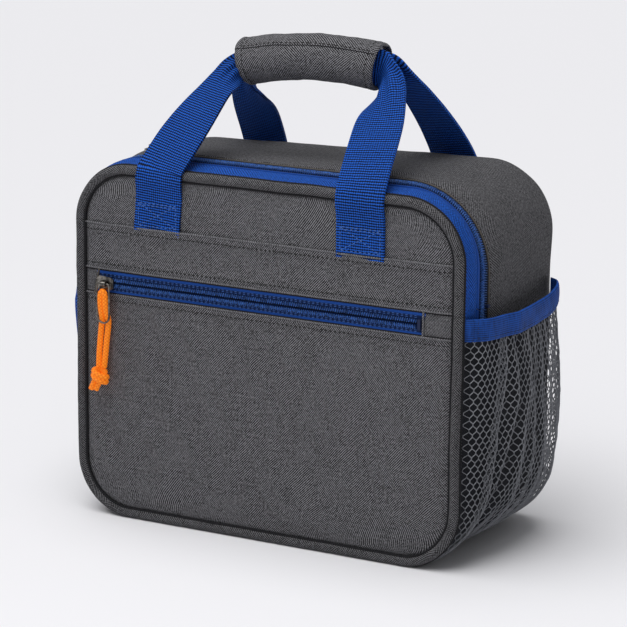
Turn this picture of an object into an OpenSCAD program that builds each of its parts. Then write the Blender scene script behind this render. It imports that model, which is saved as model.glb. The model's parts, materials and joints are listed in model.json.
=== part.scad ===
// Soft insulated lunch bag: a padded body with a front flap that folds forward once the
// U-shaped main zip is open, a zipped front pocket, two net side pockets and a pair of
// webbing handles joined by a two-part grip. Millimetres, +Z up, front face towards -Y.
// The origin is on the ground, under the middle of the bag.

/* [Body] */
// Width across the widest part of the body
shell_w = 274; // [250:1:300]
// Height of the body
shell_h = 228; // [215:1:250]
// Depth of the body, from the front seam to the back
body_d = 130; // [115:1:150]
// Corner radius of the body, seen from the front
corner_r = 49; // [44:1:52]
// Radius of the rounded edge round the back
back_r = 20; // [14:1:24]
// How much the front seam is smaller than the body all round
seam_drop = 7; // [5:0.5:8]
// How far the front panel bulges forward
panel_bulge = 4; // [2:0.5:5]
// Thickness of the outer fabric
fabric_t = 1.4; // [1:0.1:1.8]
// Thickness of the insulating foam
foam_t = 5; // [3:0.5:6]
// Thickness of the liner
liner_t = 0.6; // [0.4:0.1:1]
// Radius of the covered cord in the front seam
piping_r = 2.9; // [2.4:0.1:3.2]

/* [Flap] */
// Height of the line that the front flap folds along
fold_z = 157; // [150:1:160]
// How far below the top of the body the handles' ends are sewn in
yoke_drop = 43; // [38:1:50]

/* [Main zip] */
// Distance from the front seam back to the middle of the main zip
zip_setback = 20; // [18:1:24]
// Distance from the middle of the main zip back to the shell's rim
rim_setback = 8; // [7:0.5:10]
// Thickness of the zip tape
tape_t = 0.8; // [0.6:0.1:1]
// Thickness of a row of zip coil
coil_h = 2.2; // [1.8:0.1:2.6]
// Width of one row of zip coil
coil_w = 2.6; // [2.2:0.1:3]
// Gap between the two rows
coil_gap = 1; // [0.8:0.1:1.4]

/* [Front pocket] */
// Height of the middle of the pocket's zip
pocket_z = 149; // [146:1:150]
// Height of the opening in the fabric that the pocket's zip fills
pocket_zip_h = 15; // [14:0.5:16]
// Distance of the zip's left end from the middle
pocket_left = 113.5; // [105:0.5:115]
// Distance of the zip's right end from the middle
pocket_right = 105.5; // [95:0.5:115]

/* [Side pockets] */
// Height of the top of the elastic mouth
mouth_z = 154.5; // [150:0.5:155]
// Height of the elastic binding
elastic_h = 13.5; // [10:0.5:16]
// How far the elastic stands away from the side of the bag
mouth_bulge = 7.5; // [7:0.5:10]
// How much further the net stands out below the mouth
net_bulge = 8; // [5:0.5:12]
// Thickness of the net
net_t = 1.2; // [0.8:0.1:1.6]
// Distance from the back of the body to the side pocket's rear edge
net_setback = 19; // [18:1:30]

/* [Handles] */
// Distance of each strap's centre from the middle of the handles
strap_x = 67; // [58:1:70]
// How far the handles sit to the right of the bag's middle
handle_shift = -2; // [-3:0.5:3]
// Width of the webbing
strap_w = 31; // [25:1:34]
// Thickness of the webbing
strap_t = 2; // [1.6:0.1:2.2]
// How far below the top of the body each strap leaves the fabric
stitch_drop = 25.5; // [23:0.5:30]
// How far above the top of the body the middle of the grip is
grip_rise = 59; // [48:1:72]
// Length of the grip
grip_l = 91; // [84:1:98]
// How many degrees the grip's right end is tilted up
grip_tilt = 2.5; // [0:0.5:4]
// Radius of the grip
grip_r = 14.2; // [13:0.1:16]
// Radius that the grip is arched to
grip_arch_r = 258; // [200:1:400]

/* [Zip sliders] */
// Length of a slider
slider_l = 12; // [10:0.5:14]
// Width of a slider
slider_w = 9.2; // [8:0.2:9.4]
// Thickness of a slider's plates
plate_t = 1.2; // [0.8:0.1:1.4]
// Radius of the wire of a pull
wire_r = 0.6; // [0.5:0.05:0.65]
// Width of a pull between the middles of its legs
bail_w = 8.4; // [8:0.2:9.4]
// Length of the front pocket's pull
bail_l = 24.5; // [22:0.5:28]
// Length of a main zip pull
main_pull_l = 18; // [16:1:22]

/* [Hidden] */

charcoal = [0.27, 0.27, 0.29];
blue = [0.08, 0.22, 0.55];
lining_grey = [0.62, 0.63, 0.65];
net_grey = [0.2, 0.2, 0.22];
gunmetal = [0.42, 0.41, 0.38];
orange = [0.95, 0.45, 0.08];

seam_gap = 0.1;       // between layers that are sewn together
fold_gap = 0.3;       // between the flap and what it folds away from
lay_gap = 0.3;        // between the net and the bag's side
big = 1000;           // larger than the whole bag
arc_steps = 8;        // straight pieces in a quarter of a soft corner

half_w = shell_w / 2;
yoke_z = shell_h - yoke_drop;
stitch_z = shell_h - stitch_drop;
grip_z = shell_h + grip_rise;
back_y = body_d / 2;
pipe_y = -body_d / 2 + piping_r;
gusset_y = pipe_y + piping_r + seam_gap;
zip_y = pipe_y + zip_setback;
rim_y = zip_y + rim_setback;
full_y = rim_y + 14;               // the body has its full size behind here
gusset_end_y = zip_y - rim_setback + 1.6;
front_layer_y = pipe_y + 6;        // where the body's foam starts below the fold

pipe_inset = seam_drop + piping_r;
panel_inset = pipe_inset + piping_r + 0.4;
dome_l = 22;                       // width of the curved margin of the front panel
panel_y = pipe_y - panel_bulge;    // front face of the panel's flat middle
panel_back_y = panel_y + fabric_t;
front_layer_inset = panel_inset + 1.5;

foam_inset = fabric_t + seam_gap;
liner_inset = foam_inset + foam_t + seam_gap;

// How much smaller the body is at depth y than at its fullest.
function front_drop(y) =
    y >= full_y ? 0 : seam_drop * pow((full_y - y) / (full_y - gusset_y), 2);

// A quarter of a soft corner: points of an arc from angle a.
function corner(x, z, r, a) = [
    for (i = [0:arc_steps]) [x + r * cos(a + 90 * i / arc_steps), z + r * sin(a + 90 * i / arc_steps)]
];

// The body's outline seen from the front, set in by inset, standing on floor_z.
function outline(inset, floor_z) =
    let (r = corner_r - inset, cx = half_w - corner_r, top = shell_h - corner_r, low = floor_z + r)
    concat(corner(cx, top, r, 0), corner(-cx, top, r, 90), corner(-cx, low, r, 180), corner(cx, low, r, 270));

// A station of a loft is [y, inset, floor_z].
function body_station(y, layer) = [y, front_drop(y) + layer, layer];

// Stations of the body from y = from to y = to, layer inside the outer surface.
function body_stations(from, to, layer) =
    [for (i = [0:6]) body_station(from + (to - from) * i / 6, layer)];

// Stations of the rounded edge round the back.
function back_stations(layer) = [
    for (i = [1:6]) let (a = 15 * i, r = back_r - layer)
        [back_y - back_r + r * sin(a), back_r - r * cos(a), layer + 0.6 * (back_r - layer) * (1 - cos(a))]
];

function closed_body(from, layer) = concat(
    body_stations(from, full_y, layer),
    [[back_y - back_r, layer, layer]],
    back_stations(layer)
);

// Stations of the front panel's dome, with its flat back at y = back.
function dome_stations(back, inset, shift) = concat(
    [for (i = [4:-1:0]) let (t = i / 4)
        [pipe_y - panel_bulge * (1 - pow(1 - t, 2)) + shift, inset + dome_l * t, inset + dome_l * t - seam_drop]],
    [[back, inset, inset - seam_drop]]
);

// A solid through a row of outlines.
module loft(stations) {
    rings = [for (s = stations) [for (p = outline(s[1], s[2])) [p[0], s[0], p[1]]]];
    n = len(rings[0]);
    m = len(rings);
    sides = [
        for (i = [0:m - 2], j = [0:n - 1], half = [0, 1])
            let (a = i * n + j, b = i * n + (j + 1) % n, c = b + n, d = a + n)
                half == 0 ? [a, b, c] : [a, c, d]
    ];
    front = [for (j = [n - 1:-1:0]) j];
    back = [for (j = [0:n - 1]) (m - 1) * n + j];
    polyhedron(points = [for (r = rings, p = r) p], faces = concat(sides, [front, back]));
}

// A wall of the body from y = from back to y = to, between two layers.
module body_wall(from, to, outer, inner) {
    difference() {
        loft(body_stations(from, to, outer));
        loft(body_stations(from - 1, to + 1, inner));
    }
}

// The whole open-fronted body between two layers.
module body_layer(from, outer, inner) {
    difference() {
        loft(closed_body(from, outer));
        loft(closed_body(from - 1, inner));
    }
}

// A band round the body's outline with straight sides, between two insets.
module band(from, to, outer, inner) {
    translate([0, to, 0]) rotate([90, 0, 0]) linear_extrude(to - from) difference() {
        round_rect(outer);
        round_rect(inner);
    }
}

// The body's outline with true arcs.
module round_rect(inset) {
    r = corner_r - inset;
    cx = half_w - corner_r;
    top = shell_h - corner_r;
    low = corner_r;
    translate([-cx, low - r]) square([2 * cx, top - low + 2 * r]);
    translate([-cx - r, low]) square([2 * (cx + r), top - low]);
    for (x = [-cx, cx], z = [low, top]) translate([x, z]) circle(r, $fn = 96);
}

// Keeps what lies between two heights.
module between(low, high) {
    intersection() {
        children();
        translate([-big / 2, -big / 2, low]) cube([big, big, high - low]);
    }
}

above_fold = fold_z + fold_gap;
below_fold = fold_z - fold_gap;

// --- fabric and foam of the body ---

module outer_shell() {
    color(charcoal) difference() {
        body_layer(gusset_y, 0, fabric_t);
        // the blue band and the zip take the front margin above the side pockets
        translate([-big / 2, -big, net_high_z]) cube([big, big + gusset_end_y + seam_gap, big]);
        translate([-big / 2, -big, below_fold]) cube([big, big + rim_y, big]);
        translate([-big / 2, back_seam_y, -1]) cube([big, big, big]);
    }
}

back_seam_y = back_y - back_r * 0.3;

module back_panel() {
    color(charcoal) intersection() {
        body_layer(gusset_y, 0, fabric_t);
        translate([-big / 2, back_seam_y + seam_gap, -1]) cube([big, big, big]);
    }
}

module body_foam() {
    color(lining_grey) difference() {
        body_layer(front_layer_y, foam_inset, foam_inset + foam_t);
        translate([-big / 2, -big, below_fold]) cube([big, big + rim_y, big]);
    }
}

module body_liner() {
    color(lining_grey) difference() {
        body_layer(front_layer_y, liner_inset, liner_inset + liner_t);
        translate([-big / 2, -big, below_fold]) cube([big, big + rim_y, big]);
    }
}

module side_gusset_lower() {
    color(blue) between(net_high_z + seam_gap, below_fold)
        body_wall(gusset_y, gusset_end_y, 0, fabric_t);
}

module gusset_upper() {
    color(blue) between(above_fold, big) body_wall(gusset_y, gusset_end_y, 0, fabric_t);
}

// --- front panel ---

// The domed fabric of the whole front.
module front_fabric() {
    difference() {
        loft(dome_stations(pipe_y + fabric_t, panel_inset, 0));
        loft(dome_stations(pipe_y + fabric_t + 1, panel_inset, fabric_t));
    }
}

strip_low = pocket_z - pocket_zip_h / 2;
strip_high = pocket_z + pocket_zip_h / 2;

module lower_panel() {
    color(charcoal) between(-1, strip_low - seam_gap) front_fabric();
}

module end_tab_left() {
    color(charcoal) intersection() {
        between(strip_low, strip_high) front_fabric();
        translate([-big - pocket_left - seam_gap, -big / 2, 0]) cube([big, big, big]);
    }
}

module end_tab_right() {
    color(charcoal) intersection() {
        between(strip_low, strip_high) front_fabric();
        translate([pocket_right + seam_gap, -big / 2, 0]) cube([big, big, big]);
    }
}

module middle_band() {
    color(charcoal) between(above_fold, yoke_z - seam_gap / 2) front_fabric();
}

module yoke() {
    color(charcoal) between(yoke_z + seam_gap / 2, big) front_fabric();
}

// A flat layer behind the front fabric.
module front_layer(from, to, inset = front_layer_inset) {
    loft([[from, inset, inset - seam_drop], [to, inset, inset - seam_drop]]);
}

lining_y = pipe_y + 0.6;
lining_t = 0.8;
front_foam_y = lining_y + lining_t + seam_gap;
front_foam_t = 3.8;
front_liner_y = front_foam_y + front_foam_t + seam_gap;

module pocket_lining() {
    color(charcoal) between(-1, strip_high) front_layer(lining_y, lining_y + lining_t, front_layer_inset + 1.6);
}

module lower_foam() {
    color(lining_grey) between(-1, below_fold) front_layer(front_foam_y, front_foam_y + front_foam_t);
}

module lower_liner() {
    color(lining_grey) between(-1, below_fold) front_layer(front_liner_y, front_liner_y + liner_t);
}

module flap_foam() {
    color(lining_grey) between(above_fold, big) difference() {
        loft(dome_stations(front_foam_y + front_foam_t, front_layer_inset, fabric_t + seam_gap));
    }
}

module flap_liner() {
    color(lining_grey) between(above_fold, big) front_layer(front_liner_y, front_liner_y + liner_t);
}

// --- covered cord of the front seam ---

module piping() {
    r = corner_r - pipe_inset;
    cx = half_w - corner_r;
    top = shell_h - corner_r;
    low = piping_r + r;
    side_x = cx + r;
    translate([0, pipe_y, 0]) {
        for (x = [-side_x, side_x]) translate([x, 0, low]) cylinder(r = piping_r, h = top - low, $fn = 48);
        for (z = [low - r, top + r]) translate([-cx, 0, z]) rotate([0, 90, 0]) cylinder(r = piping_r, h = 2 * cx, $fn = 48);
        for (c = [[cx, top, 0], [-cx, top, 90], [-cx, low, 180], [cx, low, 270]])
            translate([c[0], 0, c[1]]) rotate([90, 0, 0]) rotate([0, 0, c[2]])
                rotate_extrude(angle = 90, $fn = 96) translate([r, 0]) circle(piping_r, $fn = 48);
    }
}

module piping_lower() {
    color(charcoal) between(-1, below_fold) piping();
}

module piping_upper() {
    color(charcoal) between(above_fold, big) piping();
}

// --- main zip ---

tape_inset = 3.6;
coil_inset = tape_inset - coil_h;
stop_h = 1.6;

module zip_tape_front() {
    color(blue) between(above_fold, big)
        band(gusset_end_y + seam_gap, zip_y - coil_gap / 2, tape_inset, tape_inset + tape_t);
}

module zip_coil_front() {
    color(blue) between(above_fold + stop_h, big)
        band(zip_y - coil_gap / 2 - coil_w, zip_y - coil_gap / 2, coil_inset, tape_inset);
}

module zip_tape_rear() {
    color(blue) between(above_fold, big)
        band(zip_y + coil_gap / 2, rim_y - binding_w - seam_gap, tape_inset, tape_inset + tape_t);
}

module zip_coil_rear() {
    color(blue) between(above_fold + stop_h, big)
        band(zip_y + coil_gap / 2, zip_y + coil_gap / 2 + coil_w, coil_inset, tape_inset);
}

binding_w = 1.6;

module rim_binding() {
    color(charcoal) between(above_fold, big)
        band(rim_y - binding_w, rim_y - seam_gap, front_drop(rim_y) - 0.7, tape_inset + tape_t);
}

module zip_end_stops() {
    color(blue) between(above_fold, above_fold + stop_h - seam_gap)
        band(zip_y + coil_gap / 2, zip_y + coil_gap / 2 + coil_w, coil_inset, tape_inset);
}

// --- front pocket zip ---

pocket_tape_y = panel_y + 0.1;             // front face of the pocket zip's tape
pocket_stop_w = 1.8;
pocket_w = pocket_left + pocket_right;

module pocket_zip_tape() {
    color(blue) for (low = [strip_low, pocket_z + coil_gap / 2])
        translate([-pocket_left, pocket_tape_y, low])
            cube([pocket_w, tape_t, (pocket_zip_h - coil_gap) / 2 - seam_gap]);
}

module pocket_zip_coil() {
    color(blue) for (low = [pocket_z - coil_gap / 2 - coil_w, pocket_z + coil_gap / 2])
        translate([-pocket_left + 1, pocket_tape_y - coil_h, low])
            cube([pocket_w - 2 - pocket_stop_w, coil_h, coil_w]);
}

module pocket_zip_stop() {
    color(gunmetal) translate([pocket_right - 0.9 - pocket_stop_w, pocket_tape_y - coil_h, pocket_z - coil_gap / 2 - coil_w])
        cube([pocket_stop_w, coil_h, 2 * coil_w + coil_gap]);
}

// --- side pockets ---

net_front_y = gusset_y + 0.4;
net_back_y = back_y - net_setback;
net_low_z = 6;
net_high_z = mouth_z - elastic_h;

// Half width of the bag at depth y and height z.
function side_x(y, z) =
    let (r = corner_r - front_drop(y), h = z < r ? r - z : 0)
    half_w - corner_r + sqrt(r * r - h * h);

function net_out(z) =
    let (u = min(1, (z - net_low_z) / (net_high_z - net_low_z)))
    mouth_bulge * pow(u, 0.7) + net_bulge * sin(180 * u);

// Outer surface of the side pocket less depth.
function net_x(y, z, depth) =
    side_x(y, z) + lay_gap + net_t
    + net_out(z) * pow(max(0, sin(180 * (y - net_front_y) / (net_back_y - net_front_y))), 0.8) - depth;

// A curved sheet on the right side between two heights.
module side_sheet(low, high, rows, thickness, grow) {
    cols = 14;
    n = cols + 1;
    grid = [for (j = [0:rows], i = [0:cols])
        [net_front_y + (net_back_y - net_front_y) * i / cols, low + (high - low) * pow(j / rows, 1.5)]];
    outer = [for (p = grid) [net_x(p[0], p[1], -grow), p[0], p[1]]];
    inner = [for (p = grid) [net_x(p[0], p[1], thickness - grow), p[0], p[1]]];
    k = len(grid);
    quads = [for (j = [0:rows - 1], i = [0:cols - 1]) [j * n + i, (j + 1) * n + i, (j + 1) * n + i + 1, j * n + i + 1]];
    rim = concat(
        [for (i = [0:cols]) i],
        [for (j = [1:rows]) j * n + cols],
        [for (i = [cols - 1:-1:0]) rows * n + i],
        [for (j = [rows - 1:-1:1]) j * n]
    );
    edge = [for (i = [0:len(rim) - 1]) [rim[i], rim[(i + 1) % len(rim)]]];
    faces = concat(
        [for (q = quads, h = [0, 1]) h == 0 ? [q[0], q[1], q[2]] : [q[0], q[2], q[3]]],
        [for (q = quads, h = [0, 1]) h == 0 ? [q[2] + k, q[1] + k, q[0] + k] : [q[3] + k, q[2] + k, q[0] + k]],
        [for (e = edge, h = [0, 1]) h == 0 ? [e[0], e[1], e[1] + k] : [e[0], e[1] + k, e[0] + k]]
    );
    polyhedron(points = concat(outer, inner), faces = faces);
}

module mesh_pocket_right() {
    color(net_grey) side_sheet(net_low_z, net_high_z - seam_gap, 14, net_t, 0);
}

module mesh_pocket_left() {
    color(net_grey) mirror([1, 0, 0]) side_sheet(net_low_z, net_high_z - seam_gap, 14, net_t, 0);
}

module elastic_right() {
    color(blue) side_sheet(net_high_z, mouth_z, 2, net_t + 0.4, 0.4);
}

module elastic_left() {
    color(blue) mirror([1, 0, 0]) side_sheet(net_high_z, mouth_z, 2, net_t + 0.4, 0.4);
}

// --- handles ---

web_y = 3.4;                    // distance of each webbing from the grip's middle plane
web_fold_w = 19;                // width of the webbing folded inside the grip
web_rise = 12;                  // how steeply the webbing leaves the fabric
web_overhang = 14.5;            // how far the webbing swings out past the grip's end
loop_steps = 13;
turn_start = 7;                 // where along its line the webbing starts to turn on edge
turn_end = loop_steps + 2;
part_gap = 0.15;                // half the gap between the two halves of the grip
wrap_t = 1.4;
grip_clear = 0.1;
front_strap_y = panel_y - strap_t / 2 - seam_gap;
rear_strap_y = back_y + strap_t / 2 + seam_gap;
stitch_gap = 0.2;

// Height of the grip's centre line at x.
function grip_at(x) = grip_z - grip_arch_r + sqrt(grip_arch_r * grip_arch_r - x * x);

function unit(v) = v / norm(v);

function bezier(p, t) =
    pow(1 - t, 3) * p[0] + 3 * pow(1 - t, 2) * t * p[1] + 3 * (1 - t) * t * t * p[2] + t * t * t * p[3];

// Middle line of half a webbing loop, from its sewn end to the grip, that leaves the fabric
// at depth y and curves away from it at height turn_z. hand is -1 for the left half.
function half_loop(y, turn_z, hand) =
    let (
        side = y < 0 ? -1 : 1,
        end_x = grip_l / 2,
        outer_x = end_x + web_overhang,
        lift = hand * tan(grip_tilt),
        curve = [
            [strap_x, y, turn_z], [strap_x, y, turn_z + web_rise],
            [outer_x, 0.18 * y, grip_z - 3 + 0.7 * lift * outer_x],
            [end_x + 0.2, side * web_y, grip_at(end_x) + lift * end_x]
        ],
        path = concat(
            [[strap_x, y, stitch_z + stitch_gap], [strap_x, y, (stitch_z + turn_z) / 2]],
            [for (i = [0:loop_steps]) bezier(curve, i / loop_steps)],
            [for (x = [end_x - 3, end_x * 2 / 3, end_x / 3]) [x, side * web_y, grip_at(x) + lift * x]]
        )
    )
    [for (p = path) [handle_shift + hand * p[0], p[1], p[2]]];

// How far along its turn from flat to upright the webbing is, from 0 to 1.
function turned(i) =
    i <= turn_start ? 0 : i >= turn_end ? 1 : (1 - cos(180 * (i - turn_start) / (turn_end - turn_start))) / 2;

module webbing_loop(y, turn_z) {
    left = half_loop(y, turn_z, -1);
    right = half_loop(y, turn_z, 1);
    n = len(left);
    line = concat(left, [[handle_shift, (y < 0 ? -1 : 1) * web_y, grip_z]], [for (i = [n - 1:-1:0]) right[i]]);
    m = len(line);
    ring = [for (i = [0:m - 1])
        let (
            along = unit(line[min(i + 1, m - 1)] - line[max(i - 1, 0)]),
            k = i < n ? i : m - 1 - i,
            turn = 90 * turned(k),
            flat = [(i <= n ? 1 : -1) * cos(turn), 0, -sin(turn)],
            across = unit(flat - (flat * along) * along),
            up = cross(along, across),
            w = (strap_w + (web_fold_w - strap_w) * turned(k)) / 2,
            t = strap_t / 2
        )
        [line[i] + w * across + t * up, line[i] - w * across + t * up,
         line[i] - w * across - t * up, line[i] + w * across - t * up]
    ];
    strip(ring);
}

// A solid through a row of rings of the same number of points.
module strip(rings) {
    n = len(rings[0]);
    m = len(rings);
    sides = [for (i = [0:m - 2], j = [0:n - 1], h = [0, 1])
        let (a = i * n + j, b = i * n + (j + 1) % n, c = b + n, d = a + n)
            h == 0 ? [a, c, b] : [a, d, c]];
    polyhedron(
        points = [for (r = rings, p = r) p],
        faces = concat(sides, [[for (j = [0:n - 1]) j]], [[for (j = [n - 1:-1:0]) (m - 1) * n + j]])
    );
}

module front_webbing() {
    color(blue) webbing_loop(front_strap_y, shell_h - seam_drop + 1);
}

module rear_webbing() {
    color(blue) webbing_loop(rear_strap_y, shell_h - back_r + 5);
}

module strap_ends(y, low) {
    for (x = [-strap_x, strap_x])
        translate([handle_shift + x - strap_w / 2, y - strap_t / 2, low])
            cube([strap_w, strap_t, stitch_z - low]);
}

module front_strap_ends() {
    color(blue) strap_ends(front_strap_y, yoke_z);
}

module rear_strap_ends() {
    color(blue) strap_ends(rear_strap_y, yoke_z);
}

// Bends a profile in the YZ plane along the grip's arch.
module arched(length) {
    span = 2 * asin(length / 2 / grip_arch_r);
    translate([handle_shift, 0, grip_z]) rotate([0, -grip_tilt, 0]) translate([0, 0, -grip_arch_r])
        rotate([90, 0, 0]) rotate([0, 0, 90 - span / 2])
            rotate_extrude(angle = span, $fn = 240) translate([grip_arch_r, 0]) mirror([0, 1]) children();
}

// Half of a ring, on the side where the profile's second axis is negative.
module half_ring(outer, inner) {
    difference() {
        circle(outer, $fn = 64);
        if (inner > 0) circle(inner, $fn = 64);
        translate([-big / 2, -part_gap]) square([big, big]);
    }
}

module grip_half() {
    arched(grip_l) half_ring(grip_r, grip_r - wrap_t);
}

module pad_half() {
    arched(grip_l - 8) difference() {
        circle(grip_r - wrap_t - grip_clear, $fn = 64);
        translate([-big / 2, -web_y - strap_t / 2 - grip_clear]) square([big, big]);
    }
}

module fastening_half() {
    arched(grip_l - 14) translate([-web_fold_w / 2 + 2, -web_y + strap_t / 2 + grip_clear])
        square([web_fold_w - 4, web_y - strap_t / 2 - grip_clear - part_gap]);
}

module grip_front() {
    color(charcoal) grip_half();
}

module pad_front() {
    color(lining_grey) pad_half();
}

module loop_tape() {
    color(net_grey) fastening_half();
}

module grip_rear() {
    color(charcoal) mirror([0, 1, 0]) grip_half();
}

module pad_rear() {
    color(lining_grey) mirror([0, 1, 0]) pad_half();
}

module hook_tape() {
    color(net_grey) mirror([0, 1, 0]) fastening_half();
}

// --- zip sliders and pulls ---

post_w = 0.6;
plate_gap = 0.7;                // between a slider's back plate and the tape
crown_l = 4;
crown_w = 3.2;
pin_clear = 0.3;
pocket_rise = 0.5;              // between the pocket slider's front plate and the coil
main_rise = 1.8;                // the flap's coil lifts by this much as it leaves a main slider

// Height of a pull's pin above the tape.
function pin_height(rise) = coil_h + rise + plate_t + 1.9;

// A slider that travels along X on a zip that faces +Z, with the tape's face at z = 0.
module slider(rise) {
    difference() {
        union() {
            translate([0, 0, -tape_t - plate_gap - plate_t]) linear_extrude(plate_t) slider_outline();
            translate([0, 0, coil_h + rise]) linear_extrude(plate_t) slider_outline();
            translate([-slider_l / 2 + 0.6, -post_w / 2, -tape_t - plate_gap - plate_t / 2])
                cube([2.4, post_w, tape_t + plate_gap + coil_h + rise + plate_t]);
            translate([-crown_l / 2, 0, 0]) rotate([90, 0, 90]) linear_extrude(crown_l) crown_outline(rise);
        }
        translate([-crown_l, 0, pin_height(rise)]) rotate([0, 90, 0])
            cylinder(r = wire_r + pin_clear, h = 2 * crown_l, $fn = 48);
    }
}

module slider_outline() {
    polygon([
        [-slider_l / 2, -slider_w * 0.25], [-slider_l * 0.3, -slider_w / 2], [slider_l * 0.35, -slider_w * 0.42],
        [slider_l / 2, -slider_w * 0.3], [slider_l / 2, slider_w * 0.3], [slider_l * 0.35, slider_w * 0.42],
        [-slider_l * 0.3, slider_w / 2], [-slider_l / 2, slider_w * 0.25]
    ]);
}

module crown_outline(rise) {
    base = coil_h + rise + plate_t / 2;
    translate([-crown_w / 2, base]) square([crown_w, pin_height(rise) - base]);
    translate([0, pin_height(rise)]) circle(crown_w / 2, $fn = 48);
}

// A wire pull that hangs down from a pin along X at the origin.
module bail(width, length) {
    bend = 1.2;
    half = width / 2;
    translate([-half + bend, 0, 0]) rotate([0, 90, 0]) cylinder(r = wire_r, h = width - 2 * bend, $fn = 32);
    for (s = [0, 1]) mirror([s, 0, 0]) {
        translate([half - bend, 0, -bend]) rotate([90, 0, 0])
            rotate_extrude(angle = 90, $fn = 48) translate([bend, 0]) circle(wire_r, $fn = 32);
        translate([half, 0, -length + half]) cylinder(r = wire_r, h = length - half - bend, $fn = 32);
    }
    translate([0, 0, -length + half]) rotate([90, 0, 0])
        rotate([0, 0, 180]) rotate_extrude(angle = 180, $fn = 96) translate([half, 0]) circle(wire_r, $fn = 32);
}

pocket_slider_x = -pocket_left + slider_l / 2;
pocket_pin_y = pocket_tape_y - pin_height(pocket_rise);

module pocket_slider() {
    color(gunmetal) translate([pocket_slider_x, pocket_tape_y, pocket_z]) rotate([90, 0, 0]) slider(pocket_rise);
}

module pocket_bail() {
    color(gunmetal) translate([pocket_slider_x, pocket_pin_y, pocket_z]) bail(bail_w, bail_l);
}

// The cord hangs as a narrow loop, up one side of the pull, over and down the other. Its
// points are counted from the middle of the pull's pin.
cord_r = 1.45;
cord_points = [
    [-1.7, 0.9, -54], [-1.8, 1.5, -45], [-1.8, 2.2, -36], [-1.7, 2.8, -27], [-1.6, 2.5, -22.5],
    [-1.6, 0.9, -18], [-1.6, -0.1, -13], [-1.5, -0.3, -8], [-1, -0.3, -5.4],
    [0, -0.3, -4.4],
    [1, -0.3, -5.4], [1.5, -0.3, -8], [1.6, -0.1, -13], [1.6, 0.9, -18],
    [1.6, 2.5, -22.5], [1.7, 2.8, -27], [1.8, 2.2, -36], [1.8, 1.5, -45], [1.7, 0.9, -54]
];

module pull_cord() {
    m = len(cord_points);
    rings = [for (i = [0:m - 1])
        let (
            along = unit(cord_points[min(i + 1, m - 1)] - cord_points[max(i - 1, 0)]),
            across = unit(cross(along, [0, 1, 0])),
            up = cross(along, across)
        )
        [for (j = [0:7]) cord_points[i] + cord_r * (cos(45 * j) * across + sin(45 * j) * up)]
    ];
    color(orange) translate([pocket_slider_x, pocket_pin_y, pocket_z]) strip(rings);
}

knot_r = 4.7;
knot_place = cord_points[0] - [cord_points[0][0], 1.3, knot_r + 0.1];

module pull_knot() {
    color(orange) translate([pocket_slider_x, pocket_pin_y, pocket_z] + knot_place) {
        sphere(knot_r, $fn = 32);
        for (s = [-1, 1]) translate([1.7 * s, 0, 0]) rotate([0, 12 * s + 180, 0])
            cylinder(r = cord_r, h = knot_r + 6, $fn = 24);
    }
}

main_tape_z = shell_h - tape_inset;
main_left_x = -(half_w - corner_r);         // where the zip starts to turn down the left side
main_right_x = main_left_x + slider_l + 2;
pull_tilt = 84;                             // the pull lies back on the top of the bag

module main_slider(x) {
    color(gunmetal) translate([x, zip_y, main_tape_z]) slider(main_rise);
}

module main_pull(x) {
    color(gunmetal) translate([x, zip_y, main_tape_z + pin_height(main_rise)]) rotate([pull_tilt, 0, 0])
        bail(bail_w, main_pull_l);
}

module main_slider_left() { main_slider(main_left_x); }
module main_pull_left() { main_pull(main_left_x); }
module main_slider_right() { main_slider(main_right_x); }
module main_pull_right() { main_pull(main_right_x); }

outer_shell();
back_panel();
body_foam();
body_liner();
side_gusset_lower();
lower_panel();
pocket_lining();
lower_foam();
lower_liner();
piping_lower();
zip_tape_rear();
zip_coil_rear();
rim_binding();
zip_end_stops();
pocket_zip_tape();
pocket_zip_coil();
pocket_zip_stop();
end_tab_left();
end_tab_right();
mesh_pocket_right();
mesh_pocket_left();
elastic_right();
elastic_left();
rear_strap_ends();
yoke();
middle_band();
flap_foam();
flap_liner();
piping_upper();
gusset_upper();
zip_tape_front();
zip_coil_front();
front_strap_ends();
front_webbing();
grip_front();
pad_front();
loop_tape();
rear_webbing();
grip_rear();
pad_rear();
hook_tape();
pocket_slider();
pocket_bail();
pull_cord();
pull_knot();
main_slider_left();
main_pull_left();
main_slider_right();
main_pull_right();
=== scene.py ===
"""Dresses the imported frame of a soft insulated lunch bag: heather fabric, webbing, zips, net and cord."""

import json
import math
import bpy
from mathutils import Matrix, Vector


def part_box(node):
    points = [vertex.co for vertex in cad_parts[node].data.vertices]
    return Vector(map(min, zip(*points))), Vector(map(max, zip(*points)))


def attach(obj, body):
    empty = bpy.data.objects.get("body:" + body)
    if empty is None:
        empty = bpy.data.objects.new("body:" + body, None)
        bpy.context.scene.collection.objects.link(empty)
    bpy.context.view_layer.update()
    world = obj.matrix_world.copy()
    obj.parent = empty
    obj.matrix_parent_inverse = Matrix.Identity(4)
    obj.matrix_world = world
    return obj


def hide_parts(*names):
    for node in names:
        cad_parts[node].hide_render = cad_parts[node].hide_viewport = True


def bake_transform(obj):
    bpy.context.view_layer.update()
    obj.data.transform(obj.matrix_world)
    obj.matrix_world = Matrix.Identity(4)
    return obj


bl_info = {
    "name": "Insulated lunch bag",
    "version": (1, 0, 0),
    "blender": (4, 5, 0),
    "location": "View3D > Sidebar > Lunch bag",
    "description": "Fabric, webbing, zips, net pockets and cord pull for a lunch bag's frame",
    "category": "Object",
}

import bmesh
import bpy
from mathutils import Matrix, Vector, noise

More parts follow.
